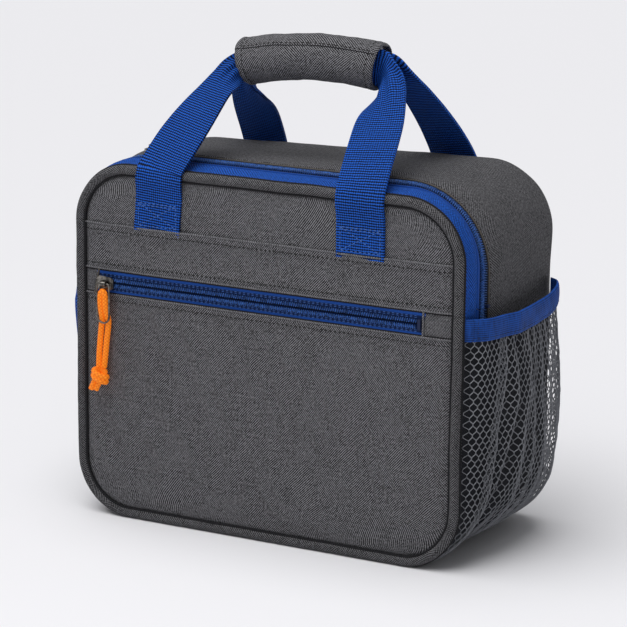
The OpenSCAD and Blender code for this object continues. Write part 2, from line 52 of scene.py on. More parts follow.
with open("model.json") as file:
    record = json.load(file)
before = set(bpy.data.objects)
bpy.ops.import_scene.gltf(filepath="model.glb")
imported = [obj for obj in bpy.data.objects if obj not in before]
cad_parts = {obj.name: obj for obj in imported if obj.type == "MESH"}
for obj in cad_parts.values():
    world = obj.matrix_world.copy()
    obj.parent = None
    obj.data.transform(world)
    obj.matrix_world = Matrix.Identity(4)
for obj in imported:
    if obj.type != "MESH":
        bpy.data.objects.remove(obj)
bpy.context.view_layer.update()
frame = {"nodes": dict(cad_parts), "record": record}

MM = 0.001
TAU = 2 * math.pi


# ---------------------------------------------------------------- sizes read from the frame

def low(node, axis):
    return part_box(node)[0][axis]


def high(node, axis):
    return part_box(node)[1][axis]


def span(node, axis):
    return high(node, axis) - low(node, axis)


def middle(node, axis):
    return (high(node, axis) + low(node, axis)) / 2


HALF_W = high("outer_shell", 0)
HEIGHT = high("outer_shell", 2)
CORNER_R = 49 * MM                        # the body's corners, seen from the front
BACK_R = 20 * MM                          # the rounding from the sides into the back
SEAM_DROP = 7 * MM                        # how far the front seam is set in from the body's outline
BACK_Y = high("back_panel", 1)
BACK_SEAM_Y = high("outer_shell", 1)
GUSSET_Y = low("outer_shell", 1)
GUSSET_END_Y = high("gusset_upper", 1)
ZIP_Y = (high("zip_tape_front", 1) + low("zip_tape_rear", 1)) / 2
RIM_Y = high("rim_binding", 1) - 1.2 * MM
TAPE_INSET = HEIGHT - high("zip_tape_rear", 2)  # how far the main zip is set in
FOLD_Z = (low("middle_band", 2) + high("side_gusset_lower", 2)) / 2
YOKE_Z = low("yoke", 2)                   # seam between the middle band and the yoke
STRIP_LOW = high("lower_panel", 2)        # the strip that holds the pocket's zip
STRIP_HIGH = high("end_tab_left", 2)
PIPE_R = span("piping_lower", 1) / 2
PIPE_Y = low("piping_lower", 1) + PIPE_R - 2.9 * MM  # the seam stands a little forward
PANEL_Y = low("lower_panel", 1)
BULGE = PIPE_Y - PANEL_Y                  # how far the front swells past its seam
PANEL_INSET = HALF_W - high("lower_panel", 0)
DOME_L = 12 * MM                          # the width over which it swells
STITCH_Z = high("front_strap_ends", 2)    # the top of the straps' sewn ends
STRAP_W = 31 * MM                         # the webbing's width
HANDLE_X = middle("front_strap_ends", 0)
STRAP_X = (span("front_strap_ends", 0) - STRAP_W) / 2  # half the straps' spacing
GRIP_R = span("grip_front", 1) + 0.15 * MM
GRIP_HALF_L = 45.5 * MM
GRIP_ARCH_R = 258 * MM
GRIP_TILT = math.radians(2.5)
GRIP_Z = high("grip_front", 2) - GRIP_R - GRIP_ARCH_R * (1 - math.cos(GRIP_TILT))
WEB_Y = 3.4 * MM                          # the webbing's distance from the middle inside the grip
NET_Y0 = low("mesh_pocket_right", 1) - 4.5 * MM
NET_Y1 = high("mesh_pocket_right", 1)
NET_Z0 = low("mesh_pocket_right", 2)
NET_Z1 = high("mesh_pocket_right", 2)
MOUTH_Z = high("elastic_right", 2)

FLAT = HALF_W - CORNER_R                  # half the straight part of the top
TOP = HEIGHT - CORNER_R                   # where the sides start to turn in
QUARTER = math.pi / 2 * CORNER_R
SIDE = HEIGHT - 2 * CORNER_R
AROUND = 2 * (2 * FLAT + 2 * QUARTER + SIDE)
SQUARER = 4.7 * MM                        # how much tighter the front's corners are than the body's
REAR_SQUARER = 6.5 * MM                   # how much tighter they are at the back
RIM_LOOSER = 3.5 * MM                     # how much rounder they are at the main zip
RIM_PULLED = 2.4 * MM                     # how far the sides are pulled in there
SEAM_DIP_W = 1.6 * MM                     # how wide the dip along the back seam is
LEFT_SAG = 5.6 * MM                       # how far the top sinks behind the zip, at most
RAISED = 1.8 * MM                         # how far the front seam climbs at the top
FRONT_FLAT = FLAT + SQUARER
FRONT_TOP = TOP + SQUARER + RAISED
FRONT_LOW = CORNER_R - SEAM_DROP - SQUARER  # centre height of the lower corners at the front
FRONT_R = CORNER_R - SQUARER
FULL_Y = RIM_Y + 14 * MM                  # where the body has its own full outline
NET_TOP = low("elastic_right", 2)
BAND_S = FLAT + QUARTER + TOP - NET_TOP   # how far round the blue band goes, down to the side pocket
FOLD_S = FLAT + QUARTER + TOP - FOLD_Z    # distance round from the top's middle to the fold
SIDE_END_S = FLAT + QUARTER + SIDE
ZIP_END_S = FOLD_S + 8 * MM               # the zip's ends are sewn down to here, behind the pockets
SEAM_LOW = CORNER_R - SEAM_DROP           # centre height of the lower corners at the seam
CLOTH_STEP = 4 * MM                       # the usual size of one face of cloth

# thicknesses of cloth, foam, tapes, webbing and coil, and the cord's radius
SHELL_T = 1.3 * MM
PANEL_T = 1.1 * MM
BAND_T = 1.2 * MM
WRAP_T = 1.5 * MM
FOAM_T = 3 * MM
TAPE_T = 0.8 * MM
WEBBING_T = 1.8 * MM
CORD_R = 1.8 * MM
COIL_T = 2.0 * MM
SHADOW_SHEET_T = 0.4 * MM


def length_setting(name, description, default):
    """A size in the sidebar; default is in millimetres."""
    return bpy.props.FloatProperty(
        name=name, description=description, default=default * MM, min=0.1 * MM, unit="LENGTH")


def colour_setting(name, description, *default):
    """A colour in the sidebar; default is its red, green and blue."""
    return bpy.props.FloatVectorProperty(
        name=name, description=description, subtype="COLOR", size=4, default=(*default, 1))


class BagSizes(bpy.types.PropertyGroup):
    weave: length_setting("Weave", "Distance between the fabric's diagonal ribs", 1.15)
    rib: length_setting("Webbing rib", "Distance between the webbing's ribs", 1.62)
    stitch: length_setting("Stitch", "Length of one stitch", 2.0)
    stitch_gap: length_setting("Stitch gap", "Gap between stitches", 0.9)
    tooth: length_setting("Coil pitch", "Distance between two turns of a zip's coil", 1.45)
    net_cell: length_setting("Net cell", "Width of one cell of the net", 4.7)
    net_thread: length_setting("Net thread", "Thickness of the net's thread", 0.8)


class BagColours(bpy.types.PropertyGroup):
    charcoal: colour_setting("Charcoal", "Main fabric", 0.088, 0.087, 0.093)
    blue: colour_setting("Blue", "Webbing, zip tapes and bindings", 0.005, 0.044, 0.222)
    orange: colour_setting("Orange", "Cord of the pocket's pull", 1.0, 0.225, 0.01)
    net: colour_setting("Net", "Thread of the side pockets", 0.19, 0.196, 0.216)
    liner: colour_setting("Liner", "Wipe-clean liner", 0.5, 0.51, 0.54)
    metal: colour_setting("Gunmetal", "Sliders and pulls", 0.115, 0.108, 0.098)
    floor: colour_setting("Floor", "Floor and background", 0.86, 0.855, 0.878)


def sizes():
    return bpy.context.scene.lunch_bag_sizes


def colours():
    return bpy.context.scene.lunch_bag_colours


# ---------------------------------------------------------------- materials

class Wire:
    """A value in a node tree that takes part in arithmetic."""

    def __init__(self, paint, socket):
        self.paint = paint
        self.socket = socket

    def maths(self, operation, *values):
        return self.paint.node("ShaderNodeMath", {"operation": operation}, dict(enumerate(values)))

    def __add__(self, other):
        return self.maths("ADD", self, other)

    def __sub__(self, other):
        return self.maths("SUBTRACT", self, other)

    def __mul__(self, other):
        return self.maths("MULTIPLY", self, other)

    def __rsub__(self, other):
        return self.maths("SUBTRACT", other, self)

    __radd__ = __add__
    __rmul__ = __mul__

    def swing(self, pitch):
        """A sine of this length, in metres, with that pitch, from -1 to 1."""
        return self.maths("SINE", self * (TAU / pitch))

    def wave(self, pitch):
        """A sine of this length, in metres, with that pitch, from 0 to 1."""
        return self.maths("SINE", self * (TAU / pitch)) * 0.5 + 0.5

    def clamped(self):
        return self.paint.node("ShaderNodeClamp", {}, {0: self})

    def power(self, exponent):
        return self.maths("POWER", self, exponent)


class Paint:
    """A material and its node tree."""

    def __init__(self, name):
        self.material = bpy.data.materials.new(name)
        self.material.use_nodes = True
        self.tree = self.material.node_tree
        self.tree.nodes.clear()

    def node(self, kind, settings=None, values=None, output=0):
        """A new node with these settings and input values; gives the wire from one output."""
        new = self.tree.nodes.new(kind)
        for key, value in (settings or {}).items():
            setattr(new, key, value)
        for key, value in (values or {}).items():
            if isinstance(value, Wire):
                self.tree.links.new(value.socket, new.inputs[key])
            else:
                new.inputs[key].default_value = value
        return Wire(self, new.outputs[output]) if new.outputs else None

    def cloth(self):
        """Distances along and across the cloth, in metres."""
        flat = self.node("ShaderNodeUVMap", {"uv_map": "cloth"})
        return flat, self.part(flat, 0), self.part(flat, 1)

    def place(self):
        return self.node("ShaderNodeTexCoord", output=3)

    def part(self, vector, axis):
        return self.node("ShaderNodeSeparateXYZ", {}, {0: vector}, output=axis)

    def scaled(self, vector, x, y, z=1.0):
        return self.node("ShaderNodeVectorMath", {"operation": "MULTIPLY"}, {0: vector, 1: (x, y, z)})

    def grain(self, vector, scale, detail=2.0, rough=0.5):
        return self.node("ShaderNodeTexNoise", {}, {
            "Vector": vector, "Scale": scale, "Detail": detail, "Roughness": rough})

    def mix(self, amount, first, second):
        return self.node("ShaderNodeMix", {"data_type": "RGBA"}, {0: amount, 6: first, 7: second}, output=2)

    def bump(self, height, distance, strength=1.0):
        return self.node("ShaderNodeBump", {}, {"Strength": strength, "Distance": distance, "Height": height})

    def finish(self, **values):
        """Ends the tree in a Principled surface with these values on its sockets."""
        named = {key.replace("_", " ").title().replace("Ior", "IOR"): value for key, value in values.items()}
        shader = self.node("ShaderNodeBsdfPrincipled", {}, named)
        self.node("ShaderNodeOutputMaterial", {}, {0: shader})
        return self.material


def tinted(colour, amount):
    """A colour made lighter (above 1) or darker (below 1)."""
    return (*[min(1.0, c * amount) for c in colour[:3]], 1)


def tint(name, amount=1.0):
    """One of the bag's colours, made lighter or darker."""
    return tinted(getattr(colours(), name), amount)


def twill(name, colour, pitch, contrast, rough=0.9, relief=0.2 * MM, speckled=4.2):
    """Woven cloth: two crossing sets of diagonal ribs, each leading in patches of its own, and
    a little darker toward the base: painted shade, for the lower part getting less light."""
    p = Paint(name)
    flat, u, v = p.cloth()
    waver = (p.grain(flat, 60, 2) - 0.5) * (1.5 * pitch)
    rib = (u * 0.7 - v * 0.72 + waver).swing(pitch)
    cross = (u * 0.72 + v * 0.69 - waver).swing(pitch)
    where = ((p.grain(flat, 38, 1) - 0.5) * 5.0 + 0.5).clamped()
    speckle = p.grain(flat, 640, 2, 0.7) - 0.5
    slub = p.grain(p.scaled(flat, 0.14, 1), 520, 1) + p.grain(p.scaled(flat, 1, 0.14), 520, 1) - 1
    weave = rib * (1.4 - where * 0.95) + cross * (where * 0.95 + 0.45) + speckle * speckled + slub * 0.75
    height = (weave * 0.3 + 0.5).clamped()
    # Painted shade: the cloth's colour darkens toward the base, where less light falls.
    painted_low_shade = (p.part(p.place(), 2) * -5 + 1).clamped() * -0.1
    shade = (weave * (0.76 * contrast) + (p.grain(flat, 24, 2) - 0.5) * 0.2 + painted_low_shade + 0.35).clamped()
    colour_out = p.mix(shade, tinted(colour, 1 - 0.93 * contrast), tinted(colour, 1 + 1.7 * contrast))
    return p.finish(
        base_color=colour_out, roughness=rough, specular_ior_level=0.2,
        normal=p.bump(height, relief))


def heather_fabric():
    return twill("heather_fabric", tint("charcoal"), sizes().weave, 1.0)


def body_fabric():
    """The same cloth where it is stretched smooth over the body."""
    return twill("body_fabric", tint("charcoal", 0.86), sizes().weave, 0.72, speckled=6.0)


def piping_fabric():
    return twill("piping_fabric", tint("charcoal", 0.7), sizes().weave * 0.95, 1.0)


def blue_fabric():
    return twill("blue_fabric", tint("blue", 1.3), sizes().weave * 1.1, 0.55, 0.8, 0.15 * MM)


def zip_tape():
    """Zip tape: fine ribs, and painted shade where the coil is sewn on, dark as the gaps between its turns.
    """
    p = Paint("zip_tape")
    flat, u, v = p.cloth()
    rib = (u + (p.grain(flat, 200, 1) - 0.5) * (1 * MM)).swing(0.95 * MM) * 0.35
    weave = rib + (p.grain(flat, 1200, 2, 0.7) - 0.5) * 1.2
    # Painted shade: the tape turns near-black under the coil, where shade falls between its turns.
    painted_coil_shade = ((v.maths("ABSOLUTE", v) * -1 + 5.2 * MM) * (1 / (0.5 * MM))).clamped()
    shade = (weave * 0.4 + 0.55).clamped()
    plain = p.mix(shade, tint("blue", 0.5), tint("blue", 2.1))
    colour_out = p.mix(painted_coil_shade * 0.85, plain, tint("blue", 0.1))
    return p.finish(base_color=colour_out, roughness=0.8, specular_ior_level=0.25,
                    normal=p.bump((weave * 0.4 + 0.5).clamped(), 0.12 * MM))


def blue_webbing():
    """Webbing: a grid of raised yarns with dark gaps between them."""
    p = Paint("blue_webbing")
    flat, u, v = p.cloth()
    waver = (p.grain(flat, 160, 2) - 0.5) * (0.8 * MM)
    across = (u + waver).swing(sizes().rib * 0.9)
    along = (v + waver).swing(sizes().rib)
    speckle = p.grain(flat, 1100, 2, 0.7) - 0.5
    yarn = across * 0.5 + along * 0.85 + speckle * 2.0
    height = (yarn * 0.45 + 0.5).clamped()
    shade = (yarn * 1.15 + (0.33 + (p.grain(flat, 45, 2) - 0.5) * 0.35)).clamped()
    colour_out = p.mix(shade, tint("blue", 0.1), tint("blue", 2.6))
    return p.finish(
        base_color=colour_out, roughness=0.75, specular_ior_level=0.15,
        normal=p.bump(height, 0.4 * MM))


def elastic_rib():
    """Elastic binding with fine ribs along its length."""
    p = Paint("elastic")
    flat, u, v = p.cloth()
    rib = v.wave(1.25 * MM)
    gather = p.grain(p.scaled(flat, 900, 90), 1, 2, 0.6)
    height = (rib * 0.6 + gather * 0.5).clamped()
    shade = (rib * 0.5 + gather * 1.1 + p.grain(flat, 90, 2) * 0.7 - 0.72).clamped()
    colour_out = p.mix(shade, tint("blue", 0.35), tint("blue", 2.1))
    return p.finish(
        base_color=colour_out, roughness=0.75, specular_ior_level=0.25,
        normal=p.bump(height, 0.12 * MM))


def braided_cord():
    """Braided cord: crossing strands round and along it, glowing faintly in its own colour as painted light.
    """
    p = Paint("orange_cord")
    flat, u, v = p.cloth()
    left = (u + v * 0.8).wave(2.2 * MM)
    right = (u - v * 0.8).wave(2.2 * MM)
    strand = (left * right).power(0.5)
    yarn = p.grain(p.scaled(flat, 2500, 900), 1, 2)
    shade = (strand * 0.9 + yarn * 0.4 - 0.1).clamped()
    colour_out = p.mix(shade, tint("orange", 0.55), tint("orange", 1.15))
    # Painted light: the cord glows a little with its own colour, though it is no lamp.
    return p.finish(
        base_color=colour_out, roughness=0.6, specular_ior_level=0.25, emission_color=colour_out,
        emission_strength=0.4, normal=p.bump(strand, 0.4 * MM))


def thread(name, colour, gloss=0.55, uneven=0.4):
    """Twisted thread, for stitches, net and coil."""
    p = Paint(name)
    place = p.place()
    coarser = uneven - 0.4
    twist = p.grain(place, 1600 - 1500 * coarser, 2) - 0.5
    twist = (twist * (1 + 4 * coarser) + 0.5).clamped()
    colour_out = p.mix(twist, tinted(colour, 1 - uneven), tinted(colour, 1 + uneven * 1.1))
    return p.finish(base_color=colour_out, roughness=gloss, specular_ior_level=0.4,
                    normal=p.bump(twist, 0.08 * MM))


def dark_thread():
    return thread("dark_thread", tint("charcoal", 0.12), 0.8)


def blue_thread():
    return thread("blue_thread", (0.045, 0.13, 0.42, 1), 0.6)


def navy_thread():
    return thread("navy_thread", tint("blue", 0.22), 0.6)


def net_thread():
    return thread("net_thread", tint("net"), 0.6)


def zip_coil():
    # Strong pale and dark flecks: uneven yarn, made strong as painted highlights on the coil's turns.
    return thread("zip_coil", (0.045, 0.13, 0.4, 1), 0.35, 0.85)


def deep_shadow():
    """Near-black painted shadow, for thin tubes that show only in gaps: beside the piping, under the front's
    folds and in the grip's crease.
    """
    return thread("seam_tape", (0.006, 0.006, 0.008, 1), 0.9)


def folded_edge():
    """The rolled edge of a folded hem with a painted highlight: the same cloth made paler where the edge
    catches the light.
    """
    return twill("folded_edge", tint("charcoal", 1.45), sizes().weave, 0.6)


def tan_edge():
    return thread("tan_edge", (0.085, 0.074, 0.064, 1), 0.8)


def gunmetal():
    """Plated metal with a brushed grain and a little wear."""
    p = Paint("gunmetal")
    place = p.place()
    brush = p.grain(p.scaled(place, 300, 300, 2200), 1, 3, 0.6)
    wear = p.grain(place, 420, 4, 0.6)
    colour_out = p.mix((wear * 3 - 1.1).clamped(), tint("metal", 0.5), tint("metal", 2.6))
    return p.finish(base_color=colour_out, metallic=1.0, roughness=brush * 0.2 + 0.2,
                    normal=p.bump(brush, 0.01 * MM))


def wiped_liner():
    """Smooth film with soft creases and a faint sheen."""
    p = Paint("liner")
    place = p.place()
    crease = p.grain(place, 38, 4, 0.6)
    fine = p.grain(place, 400, 3)
    colour_out = p.mix(crease, tint("liner", 0.8), tint("liner", 1.12))
    return p.finish(base_color=colour_out, roughness=fine * 0.2 + 0.28, specular_ior_level=0.5,
                    normal=p.bump(crease, 1.2 * MM, 0.6))


def cut_foam():
    """Closed-cell foam, pale and pitted."""
    p = Paint("foam")
    place = p.place()
    pits = p.node("ShaderNodeTexVoronoi", {}, {"Vector": place, "Scale": 1100.0})
    colour_out = p.mix(pits, (0.62, 0.62, 0.6, 1), (0.8, 0.8, 0.78, 1))
    return p.finish(base_color=colour_out, roughness=0.9, normal=p.bump(pits, 0.15 * MM))


def dark_lining():
    """Plain thin lining cloth."""
    p = Paint("lining")
    place = p.place()
    weave = p.part(place, 0).wave(0.9 * MM) * p.part(place, 2).wave(0.9 * MM)
    colour_out = p.mix(weave, tint("charcoal", 0.3), tint("charcoal", 0.8))
    return p.finish(base_color=colour_out, roughness=0.8, normal=p.bump(weave, 0.1 * MM))


def side_lining():
    """Painted shadow behind the side pockets' net: dark, faintly blue cloth where the net and pocket shade
    the bag's side.
    """
    p = Paint("side_lining")
    place = p.place()
    weave = (p.part(place, 1) * 0.7 + p.part(place, 2) * 0.7).wave(1.4 * MM)
    mottle = p.grain(place, 90, 3, 0.6)
    shade = (weave * 0.5 + mottle * 0.6 - 0.1).clamped()
    colour_out = p.mix(shade, (0.006, 0.0065, 0.008, 1), (0.028, 0.03, 0.038, 1))
    return p.finish(base_color=colour_out, roughness=0.9, specular_ior_level=0.15,
                    normal=p.bump(weave, 0.15 * MM))


def hook_and_loop():
    """Fastening tape with a dense short pile."""
    p = Paint("hook_loop")
    pile = p.node("ShaderNodeTexVoronoi", {}, {"Vector": p.place(), "Scale": 900.0})
    colour_out = p.mix(pile, (0.03, 0.03, 0.034, 1), (0.008, 0.008, 0.009, 1))
    return p.finish(base_color=colour_out, roughness=0.95, normal=p.bump(pile, 0.5 * MM))


def matte_floor():
    """Pale seamless floor with the faintest mottle, painted lighter far from the camera and darker near it.
    """
    p = Paint("floor")
    place = p.place()
    # Painted light and shade: the floor is lighter far from the camera and darker near it.
    near = (p.part(place, 1) * -1.1 + 0.4).clamped()
    mottle = (p.grain(place, 1.5, 2) - 0.5) * 0.1
    colour_out = p.mix((near + mottle).clamped(), tint("floor", 1.045), tint("floor", 0.965))
    return p.finish(base_color=colour_out, roughness=0.9, specular_ior_level=0.1)


FINISHES = {}


def finish(make):
    """The material that make gives, made once."""
    if make not in FINISHES:
        FINISHES[make] = make()
    return FINISHES[make]


# ---------------------------------------------------------------- building pieces

def only(*pieces):
    """Selects these pieces alone, the first of them active."""
    bpy.ops.object.select_all(action="DESELECT")
    for piece in pieces:
        piece.select_set(True)
    bpy.context.view_layer.objects.active = pieces[0]


def modified(piece, kind, **settings):
    """Adds a modifier to a piece and applies it."""
    only(piece)
    modifier = piece.modifiers.new(kind.title(), kind)
    for key, value in settings.items():
        setattr(modifier, key, value)
    bpy.ops.object.modifier_apply(modifier=modifier.name)
    return piece


def in_edit(piece, *steps):
    """Runs edit-mode steps on all of a piece."""
    only(piece)
    bpy.ops.object.mode_set(mode="EDIT")
    bpy.ops.mesh.select_all(action="SELECT")
    for step in steps:
        step()
    bpy.ops.object.mode_set(mode="OBJECT")
    return piece


def welded(piece, distance=0.02 * MM):
    return in_edit(piece, lambda: bpy.ops.mesh.remove_doubles(threshold=distance))


def capped(piece):
    """Closes a piece's open ends with a face each."""
    return in_edit(
        piece,
        lambda: bpy.ops.mesh.select_all(action="DESELECT"),
        lambda: bpy.ops.mesh.select_non_manifold(extend=False),
        lambda: bpy.ops.mesh.edge_face_add())


def faced_out(piece):
    return in_edit(piece, lambda: bpy.ops.mesh.normals_make_consistent(inside=False))


def joined(pieces, name):
    only(*pieces)
    bpy.ops.object.join()
    piece = bpy.context.object
    piece.name = piece.data.name = name
    return piece


def grid(name, columns, rows, place, cloth=None):
    """A grid with a point at place(c, r) for each value in columns and rows, and that point's
    own place on the flat cloth at cloth(c, r), in metres. Its face is on the side of c x r."""
    bpy.ops.object.select_all(action="DESELECT")
    bpy.ops.mesh.primitive_grid_add(
        x_subdivisions=len(columns) - 1, y_subdivisions=len(rows) - 1, size=2)
    piece = bpy.context.object
    piece.name = piece.data.name = name
    mesh = piece.data
    steps = [(round((v.co.x + 1) / 2 * (len(columns) - 1)), round((v.co.y + 1) / 2 * (len(rows) - 1)))
             for v in mesh.vertices]
    for vertex, (c, r) in zip(mesh.vertices, steps):
        vertex.co = place(columns[c], rows[r])
    layer = mesh.uv_layers[0]
    layer.name = "cloth"
    for loop in mesh.loops:
        c, r = steps[loop.vertex_index]
        layer.data[loop.index].uv = (cloth or (lambda a, b: (a, b)))(columns[c], rows[r])
    return piece


def smooth(piece, angle=60):
    only(piece)
    bpy.ops.object.shade_smooth_by_angle(angle=math.radians(angle))
    return piece


def thickened(piece, thickness, rounded=False):
    """Gives cloth its thickness, inward from its face, and rounds it where asked."""
    modified(piece, "SOLIDIFY", thickness=thickness, offset=-1)
    if rounded:
        modified(piece, "SUBSURF", levels=1, render_levels=1)
    return smooth(piece)


def dressed(piece, make, body=None, replaces=()):
    """Gives a piece its finish and the body that it rides on, and hides the frame's parts that it replaces.
    """
    piece.data.materials.clear()
    piece.data.materials.append(finish(make))
    if body:
        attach(piece, body)
    if replaces:
        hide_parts(*replaces)
    return piece


def steps(start, end, size):
    """Values from start to end, evenly spaced and about size apart."""
    count = max(1, round(abs(end - start) / size))
    return [start + (end - start) * i / count for i in range(count + 1)]


def soft(point, size, amount):
    """Smooth unevenness of cloth at a point: size is its wavelength."""
    return amount * noise.noise(Vector(point) / size)


def bell(distance, width):
    """1 at no distance, and falling smoothly to nothing past width."""
    return math.exp(-(distance / width) ** 2)


def limited(t):
    """t, kept between 0 and 1."""
    return min(1.0, max(0.0, t))


def hump(t):
    """0 where t is 0 or 1, and 1 half way."""
    return math.sin(math.pi * limited(t))


def eased(t):
    """A smooth rise from 0 to 1 while t does the same."""
    t = limited(t)
    return t * t * (3 - 2 * t)


def arc(radius, away):
    """How far a circle reaches at a distance from its centre line, and nothing past its edge."""
    return math.sqrt(max(0.0, radius * radius - away * away))


def beyond(across, up):
    """How far a point is past a rounded corner's centre, given how far past it each way."""
    return math.hypot(across, up) if across > 0 and up > 0 else max(across, up)


def copies(name, unit, places):
    """One mesh with a copy of a small shape at each matrix in places."""
    mesh = bpy.data.meshes.new(name)
    build = bmesh.new()
    for place in places:
        first = len(build.verts)
        build.from_mesh(unit.data)
        build.verts.ensure_lookup_table()
        bmesh.ops.transform(build, matrix=place, verts=build.verts[first:])
    build.to_mesh(mesh)
    build.free()
    piece = bpy.data.objects.new(name, mesh)
    bpy.context.collection.objects.link(piece)
    bpy.data.objects.remove(unit)
    return piece


def bead(segments=6, rings=4):
    """A small round shape, 1 across, to be stretched into a stitch or a turn of coil."""
    bpy.ops.object.select_all(action="DESELECT")
    bpy.ops.mesh.primitive_uv_sphere_add(segments=segments, ring_count=rings, radius=0.5)
    bpy.ops.object.shade_smooth()
    return bpy.context.object


def coil_turn():
    return bead(8, 6)


def standing(place, along, out, size):
    """A matrix that stretches a bead to size = (along, across, out) and sets it at place."""
    along = along.normalized()
    across = out.cross(along).normalized()
    up = along.cross(across).normalized()
    turn = Matrix((along, across, up)).transposed().to_4x4()
    return Matrix.Translation(place) @ turn @ Matrix.Diagonal((*size, 1))


def stitched(name, lines, body, make=dark_thread, width=0.85 * MM):
    """Rows of stitches. Each line is a list of (point, outward direction)."""
    places = []
    pitch = sizes().stitch + sizes().stitch_gap
    for line in lines:
        travelled = pitch / 2
        for (a, out), (b, _) in zip(line, line[1:]):
            length = (b - a).length
            while travelled < length and length > 0:
                at = a.lerp(b, travelled / length)
                places.append(standing(at, b - a, out, (sizes().stitch, width, width * 0.7)))
                travelled += pitch
            travelled -= length
    return dressed(copies(name, bead(), places), make, body)


def tube(name, path, radius, sides=10, closed=False, flat=(0, 1, 0)):
    """A round cord along a path of points, with ends closed, and its cloth map in metres."""
    count = len(path)
    frames = []
    run = [0.0]
    for a, b in zip(path, path[1:]):
        run.append(run[-1] + (b - a).length)
    for i in range(count):
        before = path[i - 1] if i or closed else path[i]
        after = path[(i + 1) % count] if i + 1 < count or closed else path[i]
        along = (after - before).normalized()
        across = along.cross(Vector(flat)).normalized()
        frames.append((across, along.cross(across)))
    size = radius if callable(radius) else lambda i: radius

    def place(c, r):
        across, up = frames[r % count]
        angle = TAU * c / sides
        return path[r % count] + size(r % count) * (math.cos(angle) * across + math.sin(angle) * up)

    rows = list(range(count + 1 if closed else count))
    length = run + ([run[-1] + (path[0] - path[-1]).length] if closed else [])
    piece = grid(name, list(range(sides + 1)), rows, place,
                 lambda c, r: (length[r], c / sides * TAU * size(r % count)))
    welded(piece)
    if not closed:
        capped(piece)
    return smooth(faced_out(piece), 70)


# ---------------------------------------------------------------- the bag's own shape

def lie(y):
    """How the outline at depth y differs from the body's own: how much squarer its corners are,
    how far its sides are pulled in, and how far its top is raised."""
    t = limited((FULL_Y - y) / (FULL_Y - GUSSET_Y))
    rim = (FULL_Y - RIM_Y) / (FULL_Y - GUSSET_Y)
    if t < rim:
        near = eased(t / rim)
        rear = eased((y - FULL_Y) / (BACK_SEAM_Y - FULL_Y))
        return REAR_SQUARER * rear - RIM_LOOSER * near, RIM_PULLED * near, 0.0
    near = eased((t - rim) / (1 - rim))
    return -RIM_LOOSER + (SQUARER + RIM_LOOSER) * near, RIM_PULLED * (1 - near), RAISED * near


def sag(x, y, z):
    """How far the soft top sinks behind the zip: most at the left."""
    left = 1 - limited((x + 90 * MM) / (200 * MM))
    behind = eased((y - RIM_Y) / (BACK_SEAM_Y - RIM_Y))
    near_top = eased((z - 0.7 * HEIGHT) / (0.28 * HEIGHT))
    return LEFT_SAG * left * behind * near_top


def outline(s, inset, low_centre, y):
    """The bag's outline at depth y, seen from the front: the point s metres round from the top's
    middle, towards +X, and its outward direction."""
    if abs(s) > AROUND / 2:
        s -= math.copysign(AROUND, s)
    side = 1 if s >= 0 else -1
    s = abs(s)
    squarer, pulled, raised = lie(y)
    radius = CORNER_R - inset - squarer
    flat, top, low_centre = FLAT + squarer - pulled, TOP + squarer + raised, low_centre - squarer
    if s < FLAT:
        x, z, nx, nz = s * flat / FLAT, top + radius, 0, 1
    elif s < FLAT + QUARTER:
        angle = math.pi / 2 - (s - FLAT) / CORNER_R
        nx, nz = math.cos(angle), math.sin(angle)
        x, z = flat + radius * nx, top + radius * nz
    elif s < SIDE_END_S:
        share = (s - FLAT - QUARTER) / SIDE
        x, z, nx, nz = flat + radius, top + share * (low_centre - top), 1, 0
    elif s < SIDE_END_S + QUARTER:
        angle = -(s - SIDE_END_S) / CORNER_R
        nx, nz = math.cos(angle), math.sin(angle)
        x, z = flat + radius * nx, low_centre + radius * nz
    else:
        x, z, nx, nz = flat * (1 - (s - SIDE_END_S - QUARTER) / FLAT), low_centre - radius, 0, -1
    return Vector((side * x, 0, z)), Vector((side * nx, 0, nz))


def seam_point(s, inset, y):
    """A point s metres round the front seam's outline, set in by inset at depth y, and its
    outward direction."""
    point, out = outline(s, inset, SEAM_LOW, y)
    return Vector((point.x, y, point.z)), out


def front_drop(y):
    return SEAM_DROP * limited((FULL_Y - y) / (FULL_Y - GUSSET_Y)) ** 2


def body_point(s, y, inset=0.0):
    """A point of the body s metres round at depth y, and its outward direction."""
    start = BACK_Y - BACK_R
    if y > start:
        radius = BACK_R - inset
        shrink = radius * (1 - math.sqrt(max(0.0, 1 - ((y - start) / radius) ** 2)))
        total, floor = inset + shrink, inset + 0.6 * shrink
    else:
        total, floor = inset + front_drop(y), inset
    point, out = outline(s, total, floor + CORNER_R - total, y)
    return Vector((point.x, y, point.z - sag(point.x, y, point.z))), out


def crumpled(point, out, amount=1.0):
    """A point of the outer fabric, moved by the fabric's own unevenness."""
    move = soft(point, 46 * MM, 1.1 * MM) + soft(point, 19 * MM, 0.5 * MM)
    move += soft((point.x, point.y * 2.2, point.z), 9 * MM, 0.16 * MM)
    if out.z < -0.3:
        move = -abs(move) * 0.4
    return point + out * (move * amount)


def rim_distance(x, z, inset):
    """How far inside the front's rounded outline, set in by inset, a point is."""
    return FRONT_R - inset - beyond(abs(x) - FRONT_FLAT, max(z - FRONT_TOP, FRONT_LOW - z))


def front_y(x, z):
    share = limited(rim_distance(x, z, PANEL_INSET) / DOME_L)
    return PIPE_Y - BULGE * (1 - (1 - share) ** 2)


def panel_half_width(z, inset):
    return FRONT_FLAT + arc(FRONT_R - inset, max(0.0, z - FRONT_TOP, FRONT_LOW - z))


